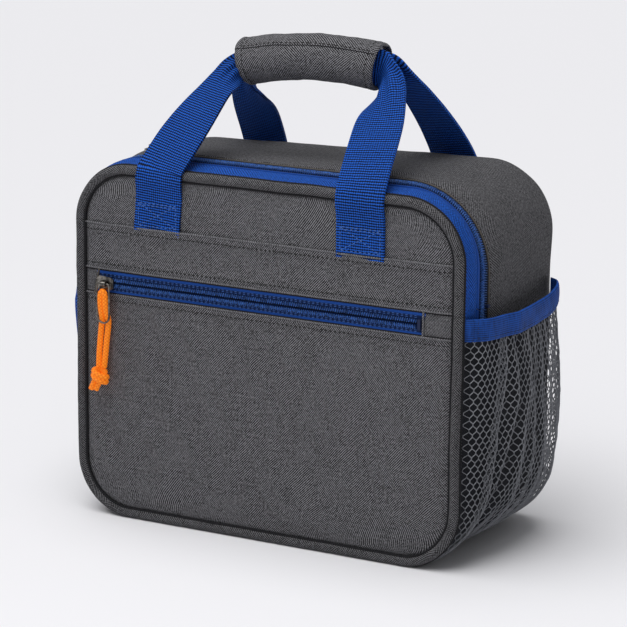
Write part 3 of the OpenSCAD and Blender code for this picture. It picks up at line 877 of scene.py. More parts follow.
def panel_rows(start, end, inset, size=CLOTH_STEP):
    """Heights from start to end, closer together where the outline turns a corner."""
    radius = FRONT_R - inset
    rows = []
    if start < FRONT_LOW:
        first = math.asin(max(-1.0, (start - FRONT_LOW) / radius))
        rows += [FRONT_LOW + radius * math.sin(a) for a in steps(first, 0, 0.13)][:-1]
        start = FRONT_LOW
    last = min(end, FRONT_TOP)
    if start < last:
        rows += steps(start, last, size)
        start = last
    if end > FRONT_TOP:
        first = math.asin(max(0.0, (start - FRONT_TOP) / radius))
        final = math.asin(min(1.0, (end - FRONT_TOP) / radius))
        rows += [FRONT_TOP + radius * math.sin(a) for a in steps(first, final, 0.1)][1 if rows else 0:]
    return rows


UNDER_PIPING = 1.4 * MM          # how far a front panel runs in under the piping


def front_uneven(x, z):
    """How far the front's cloth stands proud of its even shape at a point."""
    return soft((x, 0.3, z), 60 * MM, 1.0 * MM) + soft((x, 0.1, z), 22 * MM, 0.35 * MM)


def front_panel(name, start, end, lift, x_from=None, x_to=None):
    """A panel of the front between two heights. lift(x, z) is how far it stands proud, and
    x_from(z) and x_to(z) give its ends where they aren't under the piping."""
    inset = PANEL_INSET - UNDER_PIPING

    def place(c, z):
        half = panel_half_width(z, inset)
        left = x_from(z) if x_from else -half
        right = x_to(z) if x_to else half
        x = left + (right - left) * c
        tuck = max(0.0, UNDER_PIPING * 1.6 - rim_distance(x, z, inset)) * 0.9
        fade = eased(rim_distance(x, z, PANEL_INSET) / (9 * MM))
        y = front_y(x, z) - lift(x, z) * max(0.35, fade) + tuck - front_uneven(x, z) * fade
        return Vector((x, y, z))

    width = (x_to(start) if x_to else HALF_W) - (x_from(start) if x_from else -HALF_W)
    shift = x_from(start) if x_from else -HALF_W
    columns = steps(0, 1, 4 * MM / width)
    piece = grid(name, columns, panel_rows(start, end, inset, 3 * MM), place,
                 lambda c, z: (shift + c * width, z))
    return thickened(piece, PANEL_T, True)


def hem(distance, width=5.5 * MM, height=1.1 * MM):
    """How far a folded edge stands proud, that far in from the edge, with its stitch line."""
    if distance < 0:
        return height * 0.5
    fold = height * (1 - eased((distance - width * 0.8) / (width * 0.5)))
    edge = -0.5 * height * bell(distance, 0.5 * MM)
    stitch_line = -0.3 * MM * bell(distance - STITCH_IN, 0.7 * MM)
    return fold + edge + stitch_line


STITCH_IN = 3.6 * MM             # how far a row of stitches is from its folded edge


def over_strap(x, z):
    """How far the middle band stands proud where it covers the straps' sewn ends."""
    across = (abs(x - HANDLE_X) - STRAP_X) / (STRAP_W * 0.56)
    return 1.5 * MM * math.exp(-across ** 6) * eased((z - YOKE_Z + 9 * MM) / (8 * MM))


def left_tab_edge(z):
    return high("end_tab_left", 0) - (STRIP_HIGH - z) * 0.2


def right_tab_edge(z):
    return low("end_tab_right", 0)


# ---------------------------------------------------------------- operators

class LUNCHBAG_OT_shell(bpy.types.Operator):
    """Adds the outer fabric of the top, the sides and the base"""
    bl_idname = "lunchbag.shell"
    bl_label = "Shell"

    def execute(self, context):
        half = AROUND / 2
        side = [FOLD_S] + steps(ZIP_END_S, BAND_S, CLOTH_STEP) + [BAND_S + 1 * MM]
        side += steps(BAND_S + 5 * MM, half, 5 * MM)
        columns = [-s for s in side[::-1]][:-1] + steps(-FOLD_S, FOLD_S, 5 * MM) + side[1:]
        rows = [RIM_Y, RIM_Y + 0.6 * MM, RIM_Y + 2 * MM]
        rows += steps(RIM_Y + 5 * MM, BACK_SEAM_Y - 1.5 * MM, 5 * MM) + [BACK_SEAM_Y]

        def place(s, y):
            point, out = body_point(s, y)
            fade = eased((y - RIM_Y) / (12 * MM)) * 0.75 + 0.25 if abs(s) < ZIP_END_S else 1.0
            edge = 0.45 * MM * bell(y - RIM_Y - 1.5 * MM, 2.5 * MM) if abs(s) < ZIP_END_S - 1 * MM else 0
            seam = -0.8 * MM * bell(y - BACK_SEAM_Y, SEAM_DIP_W)
            return crumpled(point, out, fade) + out * (edge + seam)

        upper = grid("shell", columns, rows, place, lambda s, y: (s, y))
        under = [s for s in columns if s >= ZIP_END_S - 0.01 * MM] + [
            s + AROUND for s in columns[1:] if s <= -ZIP_END_S + 0.01 * MM]

        def collar(s, t):
            point, _ = body_point(s, RIM_Y)
            front = PIPE_Y + 1.5 * MM if point.z < NET_TOP - 0.1 * MM else GUSSET_END_Y + 0.6 * MM
            y = front + (RIM_Y - front) * t
            point, out = body_point(s, y)
            fade = 0.25 + 0.75 * t
            return place(s if s <= half else s - AROUND, RIM_Y) if t == 1 else crumpled(point, out, fade)

        lower = grid("shell_low", under, steps(0, 1, 0.2), collar,
                     lambda s, t: (s, RIM_Y - 25 * MM * (1 - t)))
        shell = welded(joined([upper, lower], "shell"), 0.05 * MM)
        dressed(thickened(shell, SHELL_T, True), body_fabric, "bag_body", ["outer_shell"])
        self.foam()
        return {"FINISHED"}

    def foam(self):
        """The insulation inside the shell."""
        inset = 2.2 * MM
        first = low("body_foam", 1)

        def place(s, y):
            start = first if abs(s) > ZIP_END_S + 1 * MM else RIM_Y + 1 * MM
            return body_point(s, max(y, start), inset)[0]

        columns = steps(-AROUND / 2, AROUND / 2, 5 * MM)
        bend = BACK_Y - BACK_R
        rows = steps(first, bend, 5 * MM) + steps(bend, BACK_SEAM_Y - 2 * MM, 3 * MM)[1:]
        foam = grid("foam", columns, rows, place, lambda s, y: (s, y))
        dressed(thickened(welded(foam), FOAM_T), cut_foam, "bag_body", ["body_foam"])


class LUNCHBAG_OT_back(bpy.types.Operator):
    """Adds the outer fabric of the back"""
    bl_idname = "lunchbag.back"
    bl_label = "Back"

    def execute(self, context):
        start = BACK_Y - BACK_R
        first = BACK_R * (1 - math.sqrt(1 - ((BACK_SEAM_Y - start) / BACK_R) ** 2))

        radius = CORNER_R - first - REAR_SQUARER
        flat, high_centre = FLAT + REAR_SQUARER, TOP + REAR_SQUARER
        low_centre = 0.6 * first + radius
        rows = [low_centre + radius * math.sin(a) for a in steps(-math.pi / 2, 0, 0.11)][:-1]
        rows += steps(low_centre, high_centre, CLOTH_STEP)
        rows += [high_centre + radius * math.sin(a) for a in steps(0, math.pi / 2, 0.11)][1:]

        def place(c, z):
            past = max(z - high_centre, low_centre - z)
            x = (flat + arc(radius, max(0.0, past))) * c
            inside = radius - beyond(abs(x) - flat, past)
            y = start + arc(BACK_R, max(0.0, BACK_R - first - inside))
            uneven = soft((x, 0.7, z), 55 * MM, 1.5 * MM) + soft((x, 0.2, z), 20 * MM, 0.5 * MM) - 0.4 * MM
            y += uneven * eased(inside / (10 * MM)) - 0.8 * MM * bell(inside, SEAM_DIP_W)
            return Vector((x, min(y, BACK_Y + 1 * MM), z - sag(x, y, z)))

        back = grid("back", steps(1, -1, 4 * MM / HALF_W), rows, place, lambda c, z: (c * HALF_W, z))
        dressed(thickened(back, SHELL_T, True), body_fabric, "bag_body", ["back_panel"])
        return {"FINISHED"}


class LUNCHBAG_OT_front(bpy.types.Operator):
    """Adds the front's panels: lower panel, end tabs, middle band and yoke"""
    bl_idname = "lunchbag.front"
    bl_label = "Front"

    def execute(self, context):
        bottom = FRONT_LOW - FRONT_R + PANEL_INSET - UNDER_PIPING

        def low_lift(x, z):
            return hem(STRIP_LOW - z) + 0.6 * MM * eased((STRIP_LOW - z) / (30 * MM))

        lower = front_panel("lower_front", bottom, STRIP_LOW + 0.3 * MM, low_lift)
        dressed(lower, heather_fabric, "bag_body", ["lower_panel"])

        for name, node, side, inner in (("left_tab", "end_tab_left", -1, left_tab_edge),
                                        ("right_tab", "end_tab_right", 1, right_tab_edge)):
            ends = {"x_to": inner} if side < 0 else {"x_from": inner}
            tab = front_panel(name, STRIP_LOW - 2 * MM, STRIP_HIGH + 2 * MM,
                              lambda x, z: hem(abs(x - inner(z)), 4 * MM, 0.6 * MM) - 0.25 * MM, **ends)
            dressed(tab, heather_fabric, "bag_body", [node])

        def band_lift(x, z):
            return max(hem(YOKE_Z - z), hem(z - FOLD_Z)) + 0.1 * MM + over_strap(x, z)

        band = front_panel("middle_band", FOLD_Z + 0.2 * MM, YOKE_Z + 0.4 * MM, band_lift)
        dressed(band, heather_fabric, "front_flap", ["middle_band"])

        top = FRONT_TOP + FRONT_R - PANEL_INSET + UNDER_PIPING
        yoke = front_panel("yoke", YOKE_Z - 5 * MM, top,
                           lambda x, z: -0.3 * MM + 0.5 * MM * eased((z - YOKE_Z) / (15 * MM)))
        dressed(yoke, heather_fabric, "front_flap", ["yoke"])
        return {"FINISHED"}


class LUNCHBAG_OT_front_stitches(bpy.types.Operator):
    """Adds the rolled edges of the front's folds and the rows of stitches along them"""
    bl_idname = "lunchbag.front_stitches"
    bl_label = "Front stitches"

    def execute(self, context):
        out = Vector((0, -1, 0))

        def across(z, proud, over=0.0, size=3 * MM):
            """Points along the front at one height, standing that far proud."""
            half = panel_half_width(z, PANEL_INSET) - 0.5 * MM
            points = []
            for x in steps(-half, half, size):
                fade = max(0.35, eased(rim_distance(x, z, PANEL_INSET) / (9 * MM)))
                y = front_y(x, z) - (proud + over * over_strap(x, z)) * fade - front_uneven(x, z) * fade
                points.append(Vector((x, y, z)))
            return points

        def row(z, proud, over=0.0):
            return [(point, out) for point in across(z, proud, over)]

        proud = hem(STITCH_IN) + 0.3 * MM
        stitched("yoke_stitches", [row(YOKE_Z - STITCH_IN, proud + 0.1 * MM, 0.8)], "front_flap")
        stitched("band_stitches", [row(FOLD_Z + STITCH_IN, proud + 0.1 * MM)], "front_flap")
        stitched("pocket_stitches", [row(STRIP_LOW - STITCH_IN, proud)], "bag_body")

        edge = hem(0)
        # Rolled edges of the folds, painted paler as a highlight where they catch the light.
        for name, z, over, body in (("yoke_edge", YOKE_Z + 0.2 * MM, 1.0, "front_flap"),
                                    ("band_edge", FOLD_Z + 0.3 * MM, 0.0, "front_flap"),
                                    ("pocket_edge", STRIP_LOW, 0.0, "bag_body")):
            roll = tube(name, across(z, edge - 0.1 * MM, over), 0.7 * MM, 8, flat=(0, 0, 1))
            dressed(roll, folded_edge, body)
        for name, inner in (("left_tab_edge", left_tab_edge), ("right_tab_edge", right_tab_edge)):
            points = [Vector((inner(z), front_y(inner(z), z) - 0.5 * MM - front_uneven(inner(z), z), z))
                      for z in steps(STRIP_LOW - 0.5 * MM, STRIP_HIGH + 0.5 * MM, 3 * MM)]
            roll = tube(name, points, 0.7 * MM, 8, flat=(0, 1, 0))
            dressed(roll, tan_edge if inner is left_tab_edge else folded_edge, "bag_body")
        for name, z, proud in (("band_shadow", STRIP_HIGH - 0.3 * MM, 0.25 * MM),
                               ("pocket_shadow", STRIP_LOW + 0.9 * MM, 0.25 * MM)):
            gap = tube(name, across(z, proud), 0.45 * MM, 6, flat=(0, 0, 1))
            dressed(gap, deep_shadow, "bag_body")
        return {"FINISHED"}


class LUNCHBAG_OT_piping(bpy.types.Operator):
    """Adds the covered cord round the front and the blue band behind it"""
    bl_idname = "lunchbag.piping"
    bl_label = "Piping"

    def execute(self, context):
        inset = HALF_W - high("piping_lower", 0) + PIPE_R
        piping = self.round_the_front("piping", inset, PIPE_Y, PIPE_R, 14)
        dressed(piping, piping_fabric)
        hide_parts("piping_lower", "piping_upper")
        self.folds(piping)
        # Near-black tubes on either side of the piping: painted shadow in the gaps along its seams.
        for name, seam_inset, y, radius in (
                ("inner_seam", inset + PIPE_R + 0.35 * MM, PIPE_Y - 0.5 * MM, 0.75 * MM),
                ("outer_seam", inset - PIPE_R + 0.1 * MM, PIPE_Y + 1.3 * MM, 0.8 * MM)):
            self.folds(dressed(self.round_the_front(name, seam_inset, y, radius, 8), deep_shadow))

        start, end = PIPE_Y + 1.5 * MM, GUSSET_END_Y - 1.2 * MM
        left_end = SIDE_END_S - 45 * MM

        def place(s, t):
            narrow = eased((-s - BAND_S) / (6 * MM))
            y = start + (end - start) * t * (1 - 0.6 * narrow)
            point, out = body_point(s, y)
            crown = 0.8 * MM * hump(t) ** 0.6
            bulge = eased((-s - FLAT - QUARTER * 0.8) / (30 * MM)) * eased((s + left_end) / (40 * MM))
            crown += 3.6 * MM * bulge * hump(t) ** 0.5
            tuck = -1.0 * MM * bell(t, 0.12) - 0.9 * MM * bell(t - 1, 0.08)
            return point + out * (crown + tuck + soft(point, 14 * MM, 0.25 * MM))

        band = grid("blue_band", steps(-left_end, BAND_S, CLOTH_STEP), steps(0, 1, 0.08), place,
                    lambda s, t: (s, t * (end - start)))
        dressed(thickened(band, BAND_T), blue_fabric)
        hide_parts("side_gusset_lower", "gusset_upper")
        self.folds(band)
        return {"FINISHED"}

    def folds(self, piece):
        """Bakes a piece's placement into its mesh."""
        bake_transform(piece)

    def round_the_front(self, name, inset, y, radius, sides):
        """A cord that follows the front's seam, set in by inset at depth y."""
        path = []
        for s in steps(-AROUND / 2, AROUND / 2, 3 * MM)[:-1]:
            place, out = seam_point(s, inset, y)
            move = soft((place.x, 0, place.z), 30 * MM, 0.5 * MM)
            lift = max(0.0, radius + 0.05 * MM - (place + out * move).z)
            path.append(place + out * move + Vector((0, 0, lift)))
        return tube(name, path, lambda i: radius * (1 + soft(path[i], 7 * MM, 0.06)), sides, True)


class LUNCHBAG_OT_main_zip(bpy.types.Operator):
    """Adds the main zip's tapes, its two rows of coil and the shell's bound edge"""
    bl_idname = "lunchbag.main_zip"
    bl_label = "Main zip"

    def execute(self, context):
        end = FOLD_S - 0.4 * MM
        gap = ZIP_Y - high("zip_tape_front", 1)

        def tape(name, y0, y1, body, node=None, from_s=-end, to_s=end):
            def place(s, y):
                point, out = seam_point(s, TAPE_INSET, y)
                return point + out * soft(point, 12 * MM, 0.12 * MM)

            piece = grid(name, steps(from_s, to_s, CLOTH_STEP), steps(y0, y1, 1.5 * MM), place,
                         lambda s, y: (s, y - ZIP_Y))
            dressed(thickened(piece, TAPE_T), zip_tape, body, [node] if node else ())

        front, rear = GUSSET_END_Y - 2.5 * MM, RIM_Y + 0.5 * MM
        tape("main_tape_front", front, ZIP_Y - gap, "front_flap", "zip_tape_front")
        tape("main_tape_rear", ZIP_Y + gap, rear, "bag_body", "zip_tape_rear")

        last = ZIP_END_S + 1.5 * MM
        start = end + 0.8 * MM
        tape("tape_end_right", front, rear, "bag_body", None, start, last)
        tape("tape_end_left", front, rear, "bag_body", None, -last, -start)

        pitch = sizes().tooth
        reach = end - 1 * MM
        low_teeth = []
        for name, node, body, side, offset in (
                ("main_coil_front", "zip_coil_front", "front_flap", -1, 0.0),
                ("main_coil_rear", "zip_coil_rear", "bag_body", 1, 0.5)):
            width = span(node, 1)
            centre = middle(node, 1) + side * 0.85 * MM
            teeth = []
            for i in range(int(2 * last / pitch)):
                s = -last + (i + offset) * pitch
                point, out = seam_point(s, TAPE_INSET - 1.0 * MM, centre)
                tangent = Vector((out.z, 0, -out.x))
                along = (Vector((0, 1, 0)) + tangent * 0.28 * side).normalized()
                row = teeth if abs(s) < reach else low_teeth
                row.append(standing(point, along, out, (width * 1.95, 0.6 * MM, COIL_T)))
            dressed(copies(name, coil_turn(), teeth), zip_coil, body, [node])
            edge = centre + side * (width / 2 + 1.4 * MM)
            line = [seam_point(s, TAPE_INSET - 0.1 * MM, edge) for s in steps(-reach, reach, 3 * MM)]
            stitched(name + "_stitches", [line], body, navy_thread, 0.45 * MM)
        dressed(copies("coil_ends", coil_turn(), low_teeth), zip_coil, "bag_body")
        end = ZIP_END_S

        def roll(s, a):
            point, out = body_point(s, RIM_Y - 0.5 * MM, 0.5 * MM)
            return point + out * (0.55 * MM * math.sin(a)) + Vector((0, 0.7 * MM * math.cos(a), 0))

        turns = [TAU * i / 10 for i in range(11)][::-1]
        edge = grid("bound_edge", steps(-end, end, CLOTH_STEP), turns, roll,
                    lambda s, a: (s, a * 0.8 * MM))
        welded(edge)
        dressed(smooth(edge), tan_edge, "bag_body")

        def binding(s, t):
            point, out = body_point(s, RIM_Y - 0.6 * MM, 1.2 * MM + t * 6 * MM)
            return point + Vector((0, -0.3 * MM * math.sin(math.pi * t), 0))

        inner = grid("rim_binding", steps(-end, end, 5 * MM), steps(0, 1, 0.25)[::-1], binding,
                     lambda s, t: (s, t * 6 * MM))
        dressed(thickened(inner, TAPE_T), dark_lining, "bag_body", ["rim_binding"])
        return {"FINISHED"}


class LUNCHBAG_OT_pocket_zip(bpy.types.Operator):
    """Adds the front pocket's zip: two tapes and two rows of coil"""
    bl_idname = "lunchbag.pocket_zip"
    bl_label = "Pocket zip"

    def execute(self, context):
        left, right = low("pocket_zip_tape", 0) - 1.5 * MM, high("pocket_zip_tape", 0) + 1.5 * MM
        face = low("pocket_zip_tape", 1)
        centre = middle("pocket_zip_coil", 2)
        reach = span("pocket_zip_tape", 2) / 2 + 0.8 * MM
        pieces = []
        for side in (-1, 1):
            def place(x, t):
                dip = 0.35 * MM * (1 - t) ** 2 + soft((x, t * 0.02, side), 18 * MM, 0.12 * MM)
                return Vector((x, face + dip, centre + side * (0.4 * MM + t * (reach - 0.4 * MM))))

            rows = steps(0, 1, 0.2)
            turned = rows if side > 0 else rows[::-1]
            pieces.append(grid("tape", steps(left, right, CLOTH_STEP), turned, place,
                               lambda x, t: (x, side * t * reach)))
        tape = joined(pieces, "pocket_tape")
        dressed(thickened(tape, TAPE_T), zip_tape, "bag_body", ["pocket_zip_tape"])

        pitch = sizes().tooth
        teeth, lines = [], []
        start, end = low("pocket_zip_coil", 0), high("pocket_zip_coil", 0)
        row = span("pocket_zip_coil", 2) / 2
        out = Vector((0, -1, 0))
        for side in (-1, 1):
            z = centre + side * (row / 2 + 0.25 * MM)
            for i in range(int((end - start) / pitch)):
                x = start + (i + (0.5 if side > 0 else 0)) * pitch
                along = Vector((0.25 * side, 0, 1)).normalized()
                teeth.append(standing(Vector((x, face - 0.95 * MM, z)), along, out,
                                      (row * 0.85, 0.55 * MM, COIL_T)))
            for reach_out in (0.35 * MM, 1.3 * MM):
                edge = z + side * (row / 2 + reach_out)
                line = [Vector((x, face - 0.08 * MM, edge)) for x in steps(start, end, 5 * MM)]
                lines.append([(point, out) for point in line])
        coil = copies("pocket_coil", coil_turn(), teeth)
        dressed(coil, zip_coil, "bag_body", ["pocket_zip_coil"])
        stitched("pocket_coil_stitches", lines, "bag_body", blue_thread, 0.4 * MM)
        return {"FINISHED"}


GRIP_SPACE = (Matrix.Translation((HANDLE_X, 0, GRIP_Z)) @ Matrix.Rotation(-GRIP_TILT, 4, "Y")
              @ Matrix.Translation((0, 0, -GRIP_ARCH_R)))
WRAP_HALF_L = GRIP_HALF_L + 1.5 * MM
WRAP_SEAM = 5.4 * MM             # how far from the wrap's ends their stitches are
FLAP_EDGE = 0.86                 # how far round the grip its overlapping flap's edge is
FLAP_SEAM = 0.79                 # how far round its stitches are


def grip_centre(x):
    """Height of the grip's middle line, x metres along from its middle."""
    return GRIP_Z - GRIP_ARCH_R + math.sqrt(GRIP_ARCH_R ** 2 - x * x)


class StrapLie:
    """How half a webbing loop lies: how far out it swings below the grip, how near the middle
    plane it passes there (a share of its own depth), how high that is below the grip's middle,
    how far it first rises straight, where along it turns on edge and starts to gather (0 to 1),
    its width in the grip, and how far its sewn end slants outward."""

    def __init__(self, swing, near, drop, rise, turns, gathers, width, slant=0.0):
        self.swing, self.near, self.drop, self.rise = swing * MM, near, drop * MM, rise * MM
        self.turns, self.gathers, self.width, self.slant = turns, gathers, width * MM, slant * MM


STRAP_LIES = {
    (-1, -1): StrapLie(45, 0.32, 3, 6, 0.62, 0.3, 14, slant=3),
    (-1, 1): StrapLie(61, 0.02, 6, 15, 0.45, 0.37, 22),
    (1, -1): StrapLie(58, 0.1, 2, 12, 0.38, 0.3, 17),
    (1, 1): StrapLie(60, 0.02, 2, 16, 0.7, 0.05, 17.5),
}


def strap_half(side, hand):
    """The middle line of half a webbing loop, from its sewn end to the grip's middle: a list
    of (point, how far it has turned on edge, width). hand is -1 for the left half."""
    lie = STRAP_LIES[side, hand]
    node = "front_strap_ends" if side < 0 else "rear_strap_ends"
    y = middle(node, 1)
    bottom = low(node, 2) - 1.5 * MM
    turn = HEIGHT - SEAM_DROP + 1 * MM if side < 0 else HEIGHT - BACK_R + 5 * MM
    inner = side * WEB_Y
    lift = hand * math.tan(GRIP_TILT)
    curve = [Vector(p) for p in (
        (STRAP_X, y, turn), (STRAP_X, y, turn + lie.rise),
        (lie.swing, lie.near * y, GRIP_Z - lie.drop + 0.7 * lift * lie.swing),
        (GRIP_HALF_L + 0.2 * MM, inner, grip_centre(GRIP_HALF_L) + lift * GRIP_HALF_L))]

    def part_way(t, start):
        return (1 - math.cos(math.pi * limited((t - start) / (1 - start)))) / 2

    path = []
    for z in steps(bottom, turn, 2 * MM)[:-1]:
        slant = lie.slant * (turn - z) / (turn - bottom)
        path.append((Vector((STRAP_X + slant, y, z)), 0.0, STRAP_W))
    for t in steps(0, 1, 0.025):
        k = 1 - t
        point = k ** 3 * curve[0] + 3 * k * k * t * curve[1] + 3 * k * t * t * curve[2] + t ** 3 * curve[3]
        width = STRAP_W + (lie.width - STRAP_W) * part_way(t, lie.gathers)
        path.append((point, part_way(t, lie.turns), width))
    for x in steps(GRIP_HALF_L - 3 * MM, 0, 6 * MM):
        path.append((Vector((x, inner, grip_centre(x) + lift * x)), 1.0, lie.width))
    if side < 0:
        for point, _, _ in path:
            point.y -= 2.2 * MM * bell(point.z - (FRONT_TOP + FRONT_R - SEAM_DROP - 2 * PIPE_R), 7 * MM)
    return [(Vector((HANDLE_X + hand * p.x, p.y, p.z)), turned, width) for p, turned, width in path]


class LUNCHBAG_OT_webbing(bpy.types.Operator):
    """Adds the two webbing loops, each sewn to the bag at both ends"""
    bl_idname = "lunchbag.webbing"
    bl_label = "Webbing"

    def execute(self, context):
        for name, side, base, handle, nodes in (
                ("front_webbing", -1, "front_flap", "front_handle", ("front_webbing", "front_strap_ends")),
                ("rear_webbing", 1, "bag_body", "rear_handle", ("rear_webbing", "rear_strap_ends"))):
            webbing = self.loop(name, side)
            dressed(webbing, blue_webbing)
            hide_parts(*nodes)
            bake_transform(webbing)
            self.stitches(name + "_stitches", side, base)
        return {"FINISHED"}

    def loop(self, name, side):
        left, right = strap_half(side, -1), strap_half(side, 1)
        path = left + right[-2::-1]
        count = len(path)
        run = [0.0]
        for (a, _, _), (b, _, _) in zip(path, path[1:]):
            run.append(run[-1] + (b - a).length)
        rings = []
        for i, (point, turn, width) in enumerate(path):
            along = (path[min(i + 1, count - 1)][0] - path[max(i - 1, 0)][0]).normalized()
            hand = 1 if i < len(left) else -1
            angle = math.pi / 2 * turn
            flat = Vector((hand * math.cos(angle), 0, -math.sin(angle)))
            across = (flat - along * flat.dot(along)).normalized()
            inward = along.cross(across) * -side
            rings.append((point, across, inward, width / 2, turn))

        def place(a, i):
            point, across, inward, half_width, turn = rings[i]
            gathered = math.sin(math.pi * min(1.0, turn)) ** 2
            cup = 4.5 * MM * gathered * a * a + 0.5 * MM * min(1, 8 * turn) * a * a
            crease = 0.9 * MM * gathered * math.cos(3 * math.pi * a + 0.6)
            uneven = soft(point + across * a * half_width, 11 * MM, 0.45 * MM) * (0.25 + min(1, 3 * turn))
            return point + across * a * half_width + inward * (cup + crease - 1.2 * MM * gathered + uneven)

        piece = grid(name, steps(-1, 1, 0.08), list(range(count)), place,
                     lambda a, i: (a * STRAP_W / 2, run[i]))
        modified(piece, "SOLIDIFY", thickness=WEBBING_T, offset=0)
        modified(piece, "BEVEL", width=0.4 * MM, segments=2, limit_method="ANGLE")
        return smooth(faced_out(piece), 50)

    def stitches(self, name, side, body):
        node = "front_strap_ends" if side < 0 else "rear_strap_ends"
        y = (low(node, 1) if side < 0 else high(node, 1)) + side * 0.05 * MM
        out = Vector((0, side, 0))
        lines = []
        top, bottom = STITCH_Z - 1 * MM, low(node, 2) + 2.5 * MM
        reach = STRAP_W / 2 - 2.5 * MM
        for hand in (-1, 1):
            slant = STRAP_LIES[side, hand].slant * (HEIGHT - top) / (HEIGHT - bottom) + 0.2 * MM
            x = HANDLE_X + hand * (STRAP_X + slant)
            corners = [(x - reach, bottom), (x - reach, top), (x + reach, top), (x + reach, bottom),
                       (x - reach, top), (x + reach, top), (x - reach, bottom), (x + reach, bottom)]
            lines.append([(Vector((px, y, pz)), out) for px, pz in corners])
            lines.append([(Vector((px, y, top - 1.3 * MM)), out) for px in (x - reach, x + reach)])
        stitched(name, lines, body, blue_thread, 0.7 * MM)


class LUNCHBAG_OT_grip(bpy.types.Operator):
    """Adds the padded grip's two halves, each with its stitches"""
    bl_idname = "lunchbag.grip"
    bl_label = "Grip"

    def execute(self, context):
        for name, side, body in (("grip_front", -1, "front_handle"), ("grip_rear", 1, "rear_handle")):
            def place(t, a, proud=0.0, side=side):
                x = t * WRAP_HALF_L
                end = WRAP_HALF_L - abs(x)
                radius = GRIP_R - 0.2 * MM
                radius += 0.6 * MM * bell(end - 3 * MM, 3 * MM) - 1.0 * MM * bell(end, 0.9 * MM)
                radius -= 0.45 * MM * bell(end - WRAP_SEAM, 0.8 * MM)
                radius += soft((x, a * 0.02, side), 15 * MM, 0.7 * MM)
                radius += soft((x * 2, a * 0.012, side + 4), 7 * MM, 0.25 * MM) + proud
                if side < 0:
                    radius += 0.7 * MM * (1 - eased((a - FLAP_EDGE) / 0.04))
                    radius -= 0.3 * MM * bell(a - FLAP_SEAM, 0.05)
                return GRIP_SPACE @ Vector((
                    math.sin(x / GRIP_ARCH_R) * (GRIP_ARCH_R + radius * math.cos(a)),
                    side * (0.15 * MM + radius * math.sin(a)),
                    math.cos(x / GRIP_ARCH_R) * (GRIP_ARCH_R + radius * math.cos(a))))

            turns = [0.0, 0.03] + steps(0.08, FLAP_EDGE, 0.08)
            turns += steps(FLAP_EDGE + 0.04, math.pi - 0.08, 0.08) + [math.pi - 0.03, math.pi]
            columns = steps(-1, 1, 0.04)
            wrap = grid(name, columns if side < 0 else columns[::-1], turns[::-1], place,
                        lambda t, a: (t * GRIP_HALF_L, a * GRIP_R))
            dressed(thickened(wrap, WRAP_T, True), heather_fabric, body, [name])

            def stitch(t, a):
                point = place(t, a, 0.25 * MM)
                return point, (point - place(t, a, -2 * MM)).normalized()

            end = 1 - WRAP_SEAM / WRAP_HALF_L
            lines = [[stitch(t, a) for a in steps(0.1, math.pi - 0.1, 0.15)] for t in (-end, end)]
            if side < 0:
                lines.append([stitch(t, FLAP_SEAM) for t in steps(-end, end, 0.05)])
                # A thin near-black tube along the flap's edge: painted shadow in the crease under it.
                crease = tube("flap_crease", [place(t, FLAP_EDGE + 0.03) for t in steps(-0.97, 0.97, 0.04)],
                              0.35 * MM, 6, flat=(0, 0, 1))
                dressed(crease, deep_shadow, body)
            stitched(name + "_stitches", lines, body)
        return {"FINISHED"}


def side_x(y, z):
    """Half the bag's width at a depth and height."""
    squarer, pulled, _ = lie(y)
    radius = CORNER_R - front_drop(y) - squarer
    return FLAT + squarer - pulled + arc(radius, max(0.0, radius - z))


NET_GATHER = 1.65                # the net's width before it is gathered, as a share of its sewn width
NET_CUT = ((NET_Y1 - NET_Y0) * NET_GATHER, MOUTH_Z - 8 * MM - NET_Z0)
NET_COVER = 0.62                 # the share of the net that its threads cover; the rest is holes
NET_GAP = 0.9 * MM               # how far the net is from the bag's side where it is sewn
NET_BELLY = 9 * MM               # how far it bellies out below its mouth
MOUTH_STAND = 8.5 * MM           # how far the elastic mouth stands off half way along
LEFT_STAND = 0.42                # how far the left pocket stands off, as a share of the right one


def mouth_stand(across):
    """How far the elastic mouth stands off the side, by how far back along it (0 to 1)."""
    ends = abs(2 * across - 1) ** (6 if across < 0.5 else 11)
    return MOUTH_STAND * max(0.0, 1 - ends) ** 0.8


def net_across(y):
    """How far back along a side pocket a depth is, from 0 to 1."""
    return limited((y - NET_Y0) / (NET_Y1 - NET_Y0))


def mouth_droop(across):
    """How far the elastic mouth hangs below its ends."""
    return 2.0 * MM * hump(across) - 3.5 * MM * eased((across - 0.75) / 0.25)


def net_place(y, z, fold=0.0):
    """A point of the right side pocket's net."""
    u = limited((z - NET_Z0) / (NET_Z1 - NET_Z0))
    across = net_across(y)
    belly = NET_BELLY * math.sin(math.pi * min(1.0, u)) * math.sin(math.pi * across ** 1.7) ** 0.5
    return Vector((side_x(y, z) + NET_GAP + mouth_stand(across) * u ** 0.5 + belly + fold, y, z))


